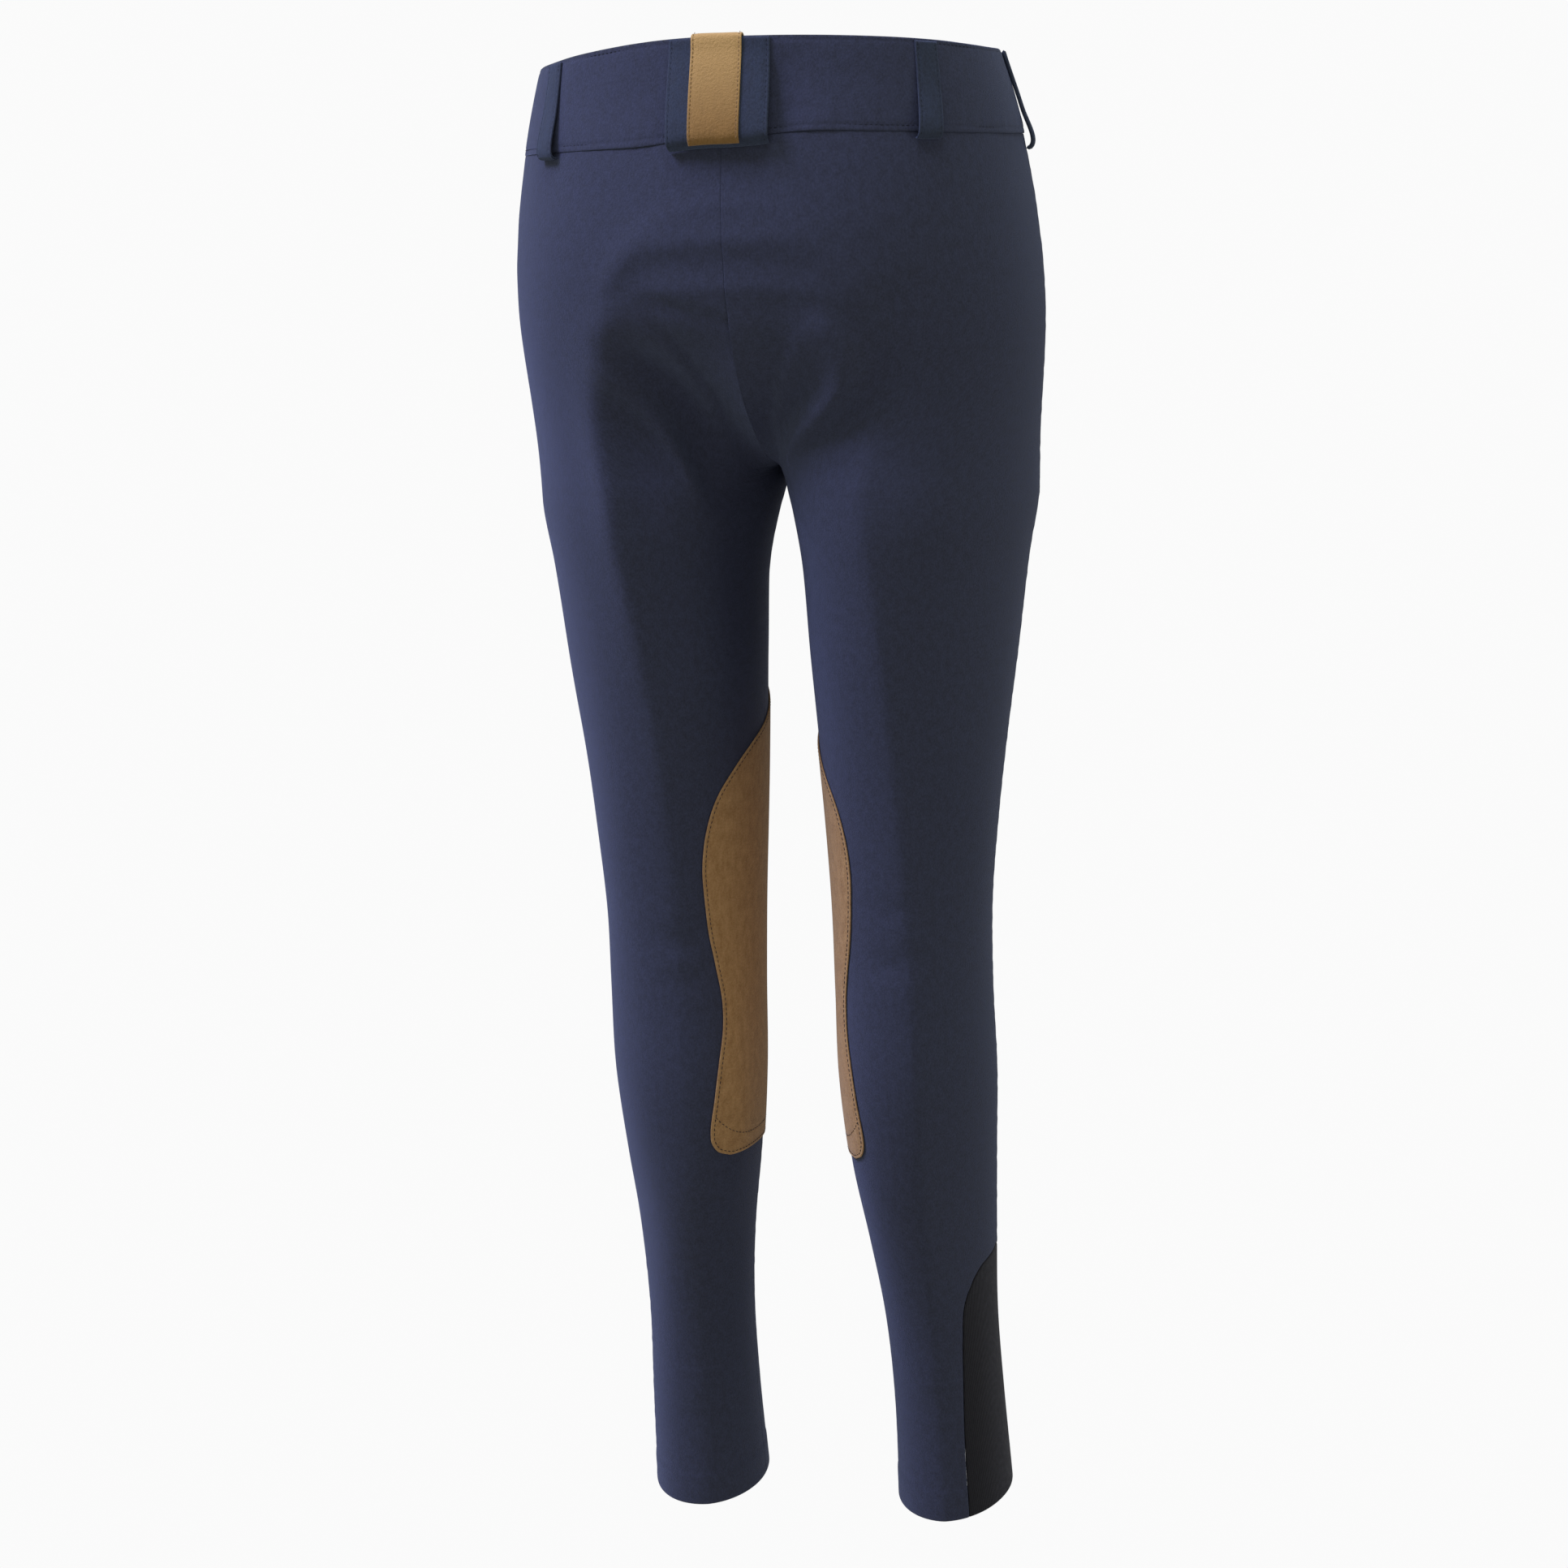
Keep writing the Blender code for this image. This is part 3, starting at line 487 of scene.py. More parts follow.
def makeFibreFlecks():
    # the fine mottling of blended fibres: small flecks over soft patches
    tree, given, result = shaderGroup(
        "fibreFlecks", [("Place", "Vector", None), ("Size", "Float", 0.002), ("Stretch", "Float", 1.6)],
        ["Flecks", "Patches"])
    flat = addNode(tree, "ShaderNodeCombineXYZ", {"X": given["Stretch"], "Y": 1.0, "Z": 1.0})[0]
    place = stretched(tree, given["Place"], flat)
    scale = calc(tree, "DIVIDE", 1.0, given["Size"])
    small = noise(tree, place, scale, 3.0, Roughness=0.65)
    wide = noise(tree, place, times(tree, scale, 0.26), 3.0, Roughness=0.6)
    tree.links.new(remap(tree, small, 0.32, 0.68), result["Flecks"])
    tree.links.new(remap(tree, wide, 0.35, 0.65), result["Patches"])
    return tree


def makeEdgeRub():
    # where edges and folded rims are worn lighter, and where the waistband's rim is darkened with painted
    # shade
    tree, given, result = shaderGroup(
        "edgeRub", [("Place", "Vector", None), ("Worn", "Float", 0.0), ("Grain", "Float", 0.003)], ["Rubbed"])
    spots = noise(tree, given["Place"], calc(tree, "DIVIDE", 1.0, given["Grain"]), 4.0, Roughness=0.7)
    tree.links.new(times(tree, remap(tree, spots, 0.35, 0.65), given["Worn"]), result["Rubbed"])
    return tree


groups = {"twillWeave": makeTwillWeave(), "fibreFlecks": makeFibreFlecks(), "edgeRub": makeEdgeRub()}


def placeGroup(tree, name, **inputs):
    return addNode(tree, "ShaderNodeGroup", inputs, node_tree=groups[name])


def newMaterial(name, roughness, **fixed):
    material = bpy.data.materials.new(name)
    material.use_nodes = True
    shader = material.node_tree.nodes["Principled BSDF"]
    shader.inputs["Roughness"].default_value = roughness
    for label, value in fixed.items():
        shader.inputs[label.replace("_", " ")].default_value = value
    return material, material.node_tree, shader


def wire(tree, shader, **sockets):
    for label, value in sockets.items():
        tree.links.new(value, shader.inputs[label.replace("_", " ")])


def clothPlace(tree):
    return addNode(tree, "ShaderNodeUVMap", uv_map="cloth")[0]


def objectPlace(tree):
    return addNode(tree, "ShaderNodeTexCoord")["Object"]


def rubbed(tree, place, grain):
    worn = addNode(tree, "ShaderNodeAttribute", attribute_name="wear")["Fac"]
    return placeGroup(tree, "edgeRub", Place=place, Worn=worn, Grain=grain)["Rubbed"]


def bump(tree, height, distance, strength, **under):
    return addNode(tree, "ShaderNodeBump", {"Height": height, "Distance": distance, "Strength": strength,
                                            **under})[0]


navyLook = {
    "dark": (0.0170, 0.0190, 0.0345, 1.0), "light": (0.0480, 0.0540, 0.0950, 1.0),
    "rubbed": (0.075, 0.082, 0.125, 1.0),
    "rub": 0.35, "rubGrain": 0.002, "pitch": 0.00050, "unevenness": 0.35, "ribDepth": 0.00012,
    "fleckSize": 0.0016, "fleckDepth": 0.00025, "rough": (0.72, 0.86),
    "shares": (0.45, 0.20, 0.35),     # of the flecks, the weave and the patches
    "sheen": 0.22, "sheenSpread": 0.45, "sheenTint": (0.55, 0.65, 1.0, 1.0),
}
# the loops are a darker navy: partly their own darker cloth, partly painted shade where they turn away from
# the light
loopLook = {**navyLook, "dark": (0.0130, 0.0175, 0.0295, 1.0), "light": (0.0375, 0.0490, 0.0800, 1.0)}
# the waistband's folded rim, and the lap's end, take a near-black edge colour: painted shade along the rim
bandLook = {**navyLook, "rubbed": (0.008, 0.009, 0.014, 1.0), "rub": 1.0}


def makeNavyCloth(name, look):
    material, tree, shader = newMaterial(name, 0.78, Sheen_Weight=look["sheen"],
                                         Sheen_Roughness=look["sheenSpread"], Sheen_Tint=look["sheenTint"],
                                         Specular_IOR_Level=0.3)
    place = clothPlace(tree)
    weave = placeGroup(tree, "twillWeave", Place=place, Pitch=look["pitch"], Unevenness=look["unevenness"])
    fibre = placeGroup(tree, "fibreFlecks", Place=place, Size=look["fleckSize"])
    flecks, tone, patches = (times(tree, value, share) for value, share in
                             zip((fibre["Flecks"], weave["Tone"], fibre["Patches"]), look["shares"]))
    colour = tint(tree, plus(tree, flecks, plus(tree, tone, patches)), look["dark"], look["light"])
    rub = times(tree, rubbed(tree, place, look["rubGrain"]), look["rub"])
    under = bump(tree, fibre["Flecks"], look["fleckDepth"], 0.5)
    # edges take their own colour: worn lighter on most pieces, painted shade along the waistband's rim
    wire(tree, shader, Base_Color=tint(tree, rub, colour, look["rubbed"]),
         Roughness=remap(tree, fibre["Patches"], 0.0, 1.0, *look["rough"]),
         Normal=bump(tree, weave["Height"], look["ribDepth"], 0.7, Normal=under))
    return material


suedeLook = {
    "dark": (0.262, 0.132, 0.046, 1.0), "light": (0.470, 0.270, 0.113, 1.0),
    "rubbed": (0.58, 0.39, 0.20, 1.0),
    "napSize": 0.0014, "napDepth": 0.0004, "brushSize": 0.009, "brushStretch": 2.2,
    "shares": (0.45, 0.55),           # of the nap and the brush marks
    "rub": 0.5, "rubGrain": 0.003, "sheen": 0.35, "sheenTint": (1.0, 0.82, 0.62, 1.0),
}
# a darker tan strip, whose paler colour towards the rim is partly wear and partly a painted highlight
stripLook = {
    **suedeLook, "dark": (0.150, 0.070, 0.013, 1.0), "light": (0.235, 0.115, 0.026, 1.0),
    "faded": (0.61, 0.38, 0.135, 1.0), "fade": (-0.080, -0.012),
}


def makeTanSuede(name, look):
    material, tree, shader = newMaterial(name, 0.92, Sheen_Weight=look["sheen"], Sheen_Roughness=0.5,
                                         Sheen_Tint=look["sheenTint"], Specular_IOR_Level=0.2)
    place = clothPlace(tree)
    nap, brush = (placeGroup(tree, "fibreFlecks", Place=place, Size=size, Stretch=stretch)["Flecks"]
                  for size, stretch in ((look["napSize"], 1.0), (look["brushSize"], look["brushStretch"])))
    share = plus(tree, times(tree, nap, look["shares"][0]), times(tree, brush, look["shares"][1]))
    colour = tint(tree, share, look["dark"], look["light"])
    rub = times(tree, rubbed(tree, place, look["rubGrain"]), look["rub"])
    colour = tint(tree, rub, colour, look["rubbed"])
    if "fade" in look:
        # paler towards the rim: partly wear, partly a painted highlight where the strip turns up over the rim
        # towards the light
        x, y, z = split(tree, place)
        colour = tint(tree, remap(tree, y, *look["fade"], 0.0, 0.8), colour, look["faded"])
    wire(tree, shader, Base_Color=colour, Normal=bump(tree, nap, look["napDepth"], 0.6))
    return material


stretchLook = {"dark": (0.0050, 0.0046, 0.0064, 1.0), "light": (0.0125, 0.0116, 0.0160, 1.0),
               "wale": 0.0011, "waleDepth": 0.0003, "fleckSize": 0.0012, "rough": (0.5, 0.62)}


def makeBlackStretch():
    # fine upright wales, as on swimwear
    look = stretchLook
    material, tree, shader = newMaterial("blackStretch", 0.60, Sheen_Weight=0.08, Sheen_Roughness=0.4,
                                         Sheen_Tint=(0.8, 0.8, 1.0, 1.0), Specular_IOR_Level=0.25)
    place = clothPlace(tree)
    x, y, z = split(tree, place)
    wales = calc(tree, "SINE", times(tree, x, 2 * math.pi / look["wale"]))
    fibre = placeGroup(tree, "fibreFlecks", Place=place, Size=look["fleckSize"])
    share = plus(tree, remap(tree, wales, -1.0, 1.0, 0.0, 0.4), times(tree, fibre["Flecks"], 0.6))
    wire(tree, shader, Base_Color=tint(tree, share, look["dark"], look["light"]),
         Roughness=remap(tree, fibre["Patches"], 0.0, 1.0, *look["rough"]),
         Normal=bump(tree, wales, look["waleDepth"], 0.6))
    return material


def makeThread(name, colour):
    # three plies twisted together, seen as slanting bands
    material, tree, shader = newMaterial(name, 0.55, Specular_IOR_Level=0.2)
    bands = noise(tree, objectPlace(tree), 2600.0, 2.0)
    dark = (*[0.55 * part for part in colour], 1.0)
    wire(tree, shader, Base_Color=tint(tree, remap(tree, bands, 0.35, 0.65), dark, (*colour, 1.0)),
         Normal=bump(tree, bands, 0.0002, 0.5))
    return material


hornLook = {"dark": (0.010, 0.011, 0.018, 1.0), "light": (0.034, 0.038, 0.058, 1.0), "rough": (0.26, 0.42)}


def makeButtonHorn():
    look = hornLook
    material, tree, shader = newMaterial("navyButton", 0.32, Specular_IOR_Level=0.5)
    streaks = noise(tree, objectPlace(tree), 220.0, 5.0, Distortion=1.2)
    wire(tree, shader, Base_Color=tint(tree, remap(tree, streaks, 0.3, 0.7), look["dark"], look["light"]),
         Roughness=remap(tree, streaks, 0.3, 0.7, *look["rough"]), Normal=bump(tree, streaks, 0.0001, 0.3))
    return material


navyCloth = makeNavyCloth("navyTwill", navyLook)
loopCloth = makeNavyCloth("loopTwill", loopLook)
bandCloth = makeNavyCloth("bandTwill", bandLook)
blackStretch = makeBlackStretch()
tanSuede, tanStrip = makeTanSuede("tanSuede", suedeLook), makeTanSuede("tanStrip", stripLook)
navyThread = makeThread("navyThread", (0.020, 0.022, 0.038))
tanThread = makeThread("tanThread", (0.30, 0.18, 0.08))
buttonHorn = makeButtonHorn()
print("materials made")


# how a piece of cloth lies on the form
def rowsThrough(*stops):
    # rows from each start on at its step, up to the next start; the last stop is the end alone
    runs = [np.arange(start, following[0] - step / 3, step)
            for (start, step), following in zip(stops, stops[1:])]
    return np.concatenate([*runs, [stops[-1][0]]])


# how far a sewn edge rolls in, and how far a folded one does, as shares of the thickness
sewnFall = {"seam": 1.0, "flush": 0.2}
foldFall = {"depth": 0.48, "width": 0.7}


def foldedEdge(distance, thickness):
    return roll(distance, foldFall["depth"] * thickness, foldFall["width"] * thickness)


def places(drops, arounds):
    # the drop of every point of a grid, and its distance from around 0
    rows = np.broadcast_to(drops[:, None], arounds.shape)
    return rows, arounds * girth(rows)


def layCloth(name, side, drops, arounds, make, edges, material, relief=0.0, lift=0.0, grain=0.0):
    # edges: how the top, bottom, low and high edges are finished; relief is on the outer face alone
    rows, across = places(drops, arounds)

    def fromEdge(column):
        slope = np.gradient(across[:, column], drops)
        return np.abs(across - across[:, column:column + 1 or None]) / np.sqrt(1 + slope**2)[:, None]

    outerFall, innerFall, worn = np.zeros(rows.shape), np.zeros(rows.shape), np.zeros(rows.shape)
    distances = (rows - drops[0], drops[-1] - rows, fromEdge(0), fromEdge(-1))
    for distance, edge in zip(distances, edges):
        if edge in sewnFall:
            outerFall += roll(distance, make["roll"], make["rollWidth"]) * sewnFall[edge]
        if edge == "fold":
            fall = foldedEdge(distance, make["thickness"])
            outerFall, innerFall = outerFall + fall, innerFall + fall
            worn = np.maximum(worn, make["worn"] * bell(distance, 0.0016))
    outer = lift + make["thickness"] - np.minimum(outerFall, 0.6 * make["thickness"]) + relief
    inner = lift + np.minimum(innerFall, 0.39 * make["thickness"])
    face, normal = clothPoint(side, rows, arounds)
    top, under = face + normal * outer[..., None], face + normal * inner[..., None]
    uv = np.stack([(arounds - grain) * girth(rows) * side, -rows], -1)
    return shellObject(name, top, under, uv, worn, material)


def attach(piece):
    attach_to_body(piece, "root")


def declare(piece, node):
    # attach the piece, and hide the frame's own part for it
    attach(piece)
    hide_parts(node)


sides = ((-1, "left"), (1, "right"))

# the panels
panelMake = {
    "thickness": 0.0015, "gap": 0.00016, "roll": 0.0008, "rollWidth": 0.0015, "worn": 0.6,
    "rowStep": 0.0030, "fineStep": 0.0012, "hemStep": 0.0018, "forkRows": 46,
    "gather": 0.00016, "gatherPeriod": 0.0105, "gatherIn": 0.003, "gatherReach": 0.009,
    "turnUp": 0.022, "turnUpProud": 0.0004, "turnUpSoft": 0.0025,
    "back": {"columns": 60, "edges": ("flush", "fold", "flush", "seam"), "grain": 0.25,
             "right": (0.262, 0.905, 0.1748), "left": (0.262, 0.905, 0.1795)},
    "front": {"columns": 48, "edges": ("flush", "fold", "seam", "flush"), "grain": 0.75,
              "right": (0.225, 0.900, 0.1437), "left": (0.225, 0.900, 0.1437)},
}
goreRows = table("drop backReach frontReach", 10000,
    (7150, 0, 0), (7190, 240, 200), (7250, 870, 670), (7360, 1330, 1040), (7500, 1650, 1280),
    (7700, 1790, 1380), (8000, 1930, 1490), (8350, 2040, 1570), (8890, 2080, 1600))


def goreReach(side, column, drop):
    share = cut["leftGoreBack"] if side < 0 and column == "backReach" else 1.0
    return np.where(drop < goreRows["drop"][0], 0.0, smoothAt(goreRows, column, drop)) * share


def panelDrops():
    step, start = panelMake["rowStep"], panelMake["gap"] / 2
    fork = cut["crotchStart"] + (cut["crotch"] - cut["crotchStart"]) * np.sin(
        math.pi / 2 * np.linspace(0.0, 1.0, panelMake["forkRows"] + 1))
    seat = rowsThrough((start + edgeSteps[-1] + 0.0008, step), (fork[0], 0))[:-1]
    leg = rowsThrough((cut["crotch"] + 0.0006, panelMake["fineStep"]), (0.206, step),
                      (0.713, panelMake["fineStep"]), (0.742, step), (0.860, panelMake["hemStep"]),
                      (cut["hem"] - edgeSteps[-1] - 0.001, 0))
    return np.concatenate([start + edgeSteps, seat, fork, leg, cut["hem"] - edgeSteps[::-1]])


def panelRelief(drops, arounds):
    rows, across = places(drops, arounds)
    low, high = across - across[:, :1], across[:, -1:] - across
    gathers = np.zeros(rows.shape)
    for distance, along in ((low, rows), (high, rows), (rows, across)):
        gathers += (pucker(along, panelMake["gatherPeriod"], panelMake["gather"])
                    * bell(distance - panelMake["gatherIn"], panelMake["gatherReach"]))
    turned = ease((rows - cut["hem"] + panelMake["turnUp"]) / panelMake["turnUpSoft"])
    return gathers + panelMake["turnUpProud"] * turned


def makePanel(side, word, which):
    drops = panelDrops()
    reach, gap = girth(drops), panelMake["gap"] / 2 / girth(drops)
    seam = cut["sideSeam"]
    if which == "back":
        start, end = gap, seam - goreReach(side, "backReach", drops) - gap
    else:
        start, end = seam + goreReach(side, "frontReach", drops) + gap, 1 - gap
    make = panelMake[which]
    arounds = edgedSpread(start, end, make["columns"], reach)
    piece = layCloth(which + "Panel" + word.title(), side, drops, arounds, panelMake, make["edges"],
                     navyCloth, relief=panelRelief(drops, arounds), lift=-panelMake["thickness"],
                     grain=make["grain"])
    declare(piece, which + "_" + word)


for side, word in sides:
    for which in ("back", "front"):
        makePanel(side, word, which)
print("panels laid")

# the stretch gores in the calves
goreMake = {"thickness": 0.0013, "gap": 0.0003, "roll": 0.0007, "rollWidth": 0.0013, "worn": 0.0,
            "columns": 34, "tip": 0.0012, "right": (0.098, 0.174, 0.0141), "left": (0.064, 0.174, 0.0093)}


def makeGore(side, word):
    top, step = goreRows["drop"][0], goreMake["gap"] / 2
    drops = rowsThrough((top + goreMake["tip"], 0.0010), (0.742, 0.003),
                        (cut["hem"] - edgeSteps[-1] - 0.001, 0))
    drops = np.concatenate([drops, cut["hem"] - edgeSteps[::-1]])
    reach, seam = girth(drops), cut["sideSeam"]
    back, front = (np.maximum(goreReach(side, column, drops - step) - step / reach, 0.0)
                   for column in ("backReach", "frontReach"))
    back[0] = front[0] = 0.0
    arounds = edgedSpread(seam - back, seam + front, goreMake["columns"], reach)
    piece = layCloth("calfGore" + word.title(), side, drops, arounds, goreMake,
                     ("seam", "fold", "seam", "seam"), blackStretch, lift=-goreMake["thickness"], grain=seam)
    declare(piece, "calf_gore_" + word)


for side, word in sides:
    makeGore(side, word)
print("gores let in")

# the suede patches inside the knees; angles from the inner side of the leg, towards the back
patchMake = {"thickness": 0.0011, "lift": 0.0003, "worn": 0.4, "columns": 46, "flat": (0.124, 0.300, 0.0300),
             "edgeStitch": 0.0022, "groove": 0.00035, "grooveWidth": 0.0009, "arcUp": 0.011,
             "arcEnds": 0.628, "arcInset": 0.012, "arcRise": 0.016}
patchRows = table("drop backEdge frontEdge", (1000, 1, 1),
    (348, -33, -37), (351, -30, -40), (359, -15, -45), (367, 0, -51), (376, 15, -56), (389, 30, -60),
    (407, 45, -62), (429, 54, -62.5), (452, 57.7, -62), (473, 57, -60), (496, 54.5, -58), (518, 50, -56),
    (540, 46.4, -55), (559, 47, -54), (580, 51, -53), (604, 55, -51.5), (630, 58.5, -50), (640, 54, -45),
    (644, 45, -37))


def patchEdge(column, drop):
    return smoothAt(patchRows, column, drop) / 360


def patchEdges(drop):
    return patchEdge("backEdge", drop), patchEdge("frontEdge", drop)


def patchOutline(inset):
    # a closed line inside the patch's edge, as (drop, around)
    top, bottom = patchRows["drop"][0], patchRows["drop"][-1]
    drops = rowsThrough((top, 0.0015), (0.630, 0.0010), (bottom, 0))
    below = np.linspace(*patchEdges(bottom), 60)[1:-1]
    drop = np.concatenate([drops, np.full(below.shape, drops[-1]), drops[::-1]])
    around = np.concatenate([patchEdge("backEdge", drops), below, patchEdge("frontEdge", drops[::-1])])
    plane = np.stack([around * girth(drop), drop], -1)
    step = np.roll(plane, -1, axis=0) - np.roll(plane, 1, axis=0)
    inward = np.stack([-step[:, 1], step[:, 0]], -1) / np.linalg.norm(step, axis=1, keepdims=True)
    moved = plane + inward * inset
    gaps = np.linalg.norm(moved[:, None] - plane[None], axis=2).min(axis=1)
    moved = moved[gaps > inset * 0.97]
    return moved[:, 1], moved[:, 0] / girth(moved[:, 1])


def grooveAlong(rows, across, drop, around, make):
    # a trough along a sewn line
    line = np.stack([around * girth(drop), drop], -1)
    points = np.stack([across.reshape(-1), rows.reshape(-1)], -1)
    nearest = np.concatenate([np.linalg.norm(part[:, None] - line[None], axis=2).min(axis=1)
                              for part in np.array_split(points, 24)])
    return -make["groove"] * bell(nearest, make["grooveWidth"]).reshape(rows.shape)


def patchArc():
    # the row of stitches that rounds off above the bottom edge
    back, front = patchEdges(patchMake["arcEnds"])
    share = np.linspace(-1.0, 1.0, 80)
    drop = patchRows["drop"][-1] - patchMake["arcUp"] - patchMake["arcRise"] * share**4
    return drop, np.linspace(back - patchMake["arcInset"], front + patchMake["arcInset"], 80)


def makeKneePatch(side, word):
    drops = rowsThrough((patchRows["drop"][0], 0.0010), (0.356, 0.0020), (0.625, 0.0012),
                        (0.640, 0.0006), (patchRows["drop"][-1], 0))
    back, front = patchEdges(drops)
    arounds = edgedSpread(front, back, patchMake["columns"], girth(drops))
    relief = sum(grooveAlong(*places(drops, arounds), *line, patchMake)
                 for line in (patchOutline(patchMake["edgeStitch"]), patchArc()))
    piece = layCloth("kneePatch" + word.title(), side, drops, arounds, patchMake, ("fold",) * 4, tanSuede,
                     relief=relief, lift=patchMake["lift"])
    declare(piece, "knee_patch_" + word)


for side, word in sides:
    makeKneePatch(side, word)
print("knee patches laid")

# the waistband
# the folded rim takes the band's near-black edge colour strongly: painted shade
bandMake = {
    "thickness": 0.0026, "proud": 0.0006, "gap": 0.00016, "roll": 0.0009, "rollWidth": 0.0016, "worn": 1.6,
    "columns": 170, "rowStep": 0.0016, "fineStep": 0.0007, "stitchUp": 0.0032, "stitchDown": 0.0024,
    "groove": 0.0002, "grooveWidth": 0.0009, "padded": 0.0005, "pucker": 0.00018, "puckerPeriod": 0.011,
    "puckerUp": 0.005, "puckerDown": 0.006, "puckerReach": 0.004, "uneven": 0.0004, "unevenSpan": 0.022,
    "lapStart": 0.972, "lapOnTop": 0.996, "lapEnd": 1.065, "lapGap": 0.0003,
    "right": (0.449, 0.053), "left": (0.424, 0.053),
}


def bandLift(side, around):
    climb = (around - bandMake["lapStart"]) / (bandMake["lapOnTop"] - bandMake["lapStart"])
    onTop = ease(climb) if side > 0 else 0.0
    return bandMake["proud"] - bandMake["thickness"] + onTop * (bandMake["thickness"] + bandMake["lapGap"])


def makeBand(side, word):
    make, height, gap = bandMake, cut["bandHeight"], bandMake["gap"] / 2
    middle = rowsThrough((-height + edgeSteps[-1] + 0.0006, make["fineStep"]),
                         (-height + 0.007, make["rowStep"]), (-0.007, make["fineStep"]),
                         (-gap - edgeSteps[-1] - 0.0005, 0))
    drops = np.concatenate([-height + edgeSteps, middle, -gap - edgeSteps[::-1]])
    reach = girth(drops)
    end = make["lapEnd"] if side > 0 else 1 - gap / reach
    arounds = edgedSpread(gap / reach, end + 0 * reach, make["columns"], reach)
    rows, across = places(drops, arounds)
    up, down = rows + height, -rows
    relief = -make["groove"] * (bell(down - make["stitchUp"], make["grooveWidth"])
                                + bell(up - make["stitchDown"], make["grooveWidth"]))
    relief = relief + make["padded"] * np.sin(math.pi * np.clip(up / height, 0, 1)) ** 0.5
    relief = relief + pucker(across, make["puckerPeriod"], make["pucker"]) * (
        bell(down - make["puckerDown"], make["puckerReach"])
        + 0.6 * bell(up - make["puckerUp"], make["puckerReach"]))
    relief = relief + make["uneven"] * softNoise(across + side, rows, make["unevenSpan"], 5)
    piece = layCloth("waistband" + word.title(), side, drops, arounds, make,
                     ("fold", "flush", "flush", "fold" if side > 0 else "seam"), bandCloth, relief=relief,
                     lift=bandLift(side, arounds))
    declare(piece, "waistband_" + word)


for side, word in sides:
    makeBand(side, word)
print("waistband laid")

# belt loops
loopMake = {
    "width": 0.0150, "back": 0.262, "side": 0.545, "lean": -0.45, "flat": (0.015, 0.064),
    "thickness": {"back": 0.0016, "side": 0.0026, "centre": 0.0016, "strip": 0.0011}, "lay": 0.0003,
    "stitchIn": 0.0017, "groove": 0.0003, "grooveWidth": 0.0007, "worn": 0.2, "wornReach": 0.0014,
    "threadSunk": 0.0003, "stripStitchIn": 0.0013,
    "centre": -0.0024, "centreWidth": 0.0540, "centreFlat": (0.0565, 0.068), "centreColumns": 40,
    "strip": -0.0048, "stripWidth": 0.0270, "stripFlat": (0.027, 0.073), "stripColumns": 26,
    "stripCount": 110,
}


def path(*stops):
    # drop and height over the band, in tenths of a millimetre
    return np.array(stops, float) / 10000


centrePath = path((-508, 3), (-430, 8), (-340, 26), (-230, 48), (-120, 63), (-42, 69), (0, 66), (26, 49),
                  (48, -2))
narrowPaths = {
    "back": path((-495, 3), (-430, 3), (-340, 6), (-230, 14), (-120, 31), (-45, 43), (2, 44), (27, 30),
                 (30, -2)),
    "side": path((-495, 3), (-430, 3), (-340, 5), (-230, 10), (-120, 16), (2, 35), (50, 34), (76, 20),
                 (79, -2)),
}
overRim = path((-390, -30), (-450, -30), (-502, -29), (-518, -16), (-521, 6))


def raisedPath(line, height):
    run = np.gradient(line, axis=0)
    run /= np.linalg.norm(run, axis=1, keepdims=True)
    return line + np.stack([-run[:, 1], run[:, 0]], -1) * height


stripPath = np.concatenate([
    overRim, raisedPath(centrePath, loopMake["thickness"]["centre"] + loopMake["lay"])[:8]])


def smoothPath(line, count):
    # a finer line through the path's own points
    along = np.concatenate([[0.0], np.cumsum(np.linalg.norm(np.diff(line, axis=0), axis=1))])
    rows = {"drop": along, "first": line[:, 0], "second": line[:, 1]}
    fine = np.linspace(0.0, along[-1], count)
    return np.stack([smoothAt(rows, "first", fine), smoothAt(rows, "second", fine)], -1), fine


def strapPlace(side, around, lean, line, offset):
    # points and directions at offset metres to one side of a strap's middle line
    place = around + offset / girth(line[:, 0]) + lean * line[:, 0]
    return clothPoint(side, line[:, 0], place, bandMake["proud"] + line[:, 1])


def makeStrap(name, side, around, lean, width, line, thickness, material, count=64, columns=14):
    line, along = smoothPath(line, count)
    offsets = edgedSpread(-width / 2, width / 2, columns, 1.0)[0]
    edge = width / 2 - np.abs(offsets)
    fall, half = foldedEdge(edge, thickness), foldFall["depth"] * thickness
    low = np.minimum(foldedEdge(along, thickness) + foldedEdge(along[-1] - along, thickness), half)
    groove = loopMake["groove"] * bell(edge - loopMake["stitchIn"], loopMake["grooveWidth"])
    lifted = raisedPath(line, 1.0) - line
    faces = []
    for height in (thickness - fall - groove, fall):
        moved = [line + lifted * np.clip(rise, low, thickness - low)[:, None] for rise in height]
        faces.append(np.stack([strapPlace(side, around, lean, one, offset)[0]
                               for one, offset in zip(moved, offsets)], 1))
    uv = np.stack(np.broadcast_arrays(offsets[None, :], -along[:, None]), -1)
    worn = loopMake["worn"] * bell(edge, loopMake["wornReach"])
    return shellObject(name, *faces, uv, np.broadcast_to(worn[None, :], faces[0].shape[:2]), material)


def makeLoops():
    make, thickness = loopMake, loopMake["thickness"]
    for side, word in sides:
        for place in ("back", "side"):
            piece = makeStrap("loop" + place.title() + word.title(), side, make[place], make["lean"],
                              make["width"], narrowPaths[place], thickness[place], loopCloth)
            declare(piece, "loop_" + place + "_" + word)
    piece = makeStrap("loopCentre", 1, make["centre"], 0.0, make["centreWidth"], centrePath,
                      thickness["centre"], loopCloth, columns=make["centreColumns"])
    declare(piece, "loop_centre")
    piece = makeStrap("loopStrip", 1, make["strip"], 0.0, make["stripWidth"], stripPath, thickness["strip"],
                      tanStrip, count=make["stripCount"], columns=make["stripColumns"])
    declare(piece, "loop_stripe")


makeLoops()
print("belt loops laid")

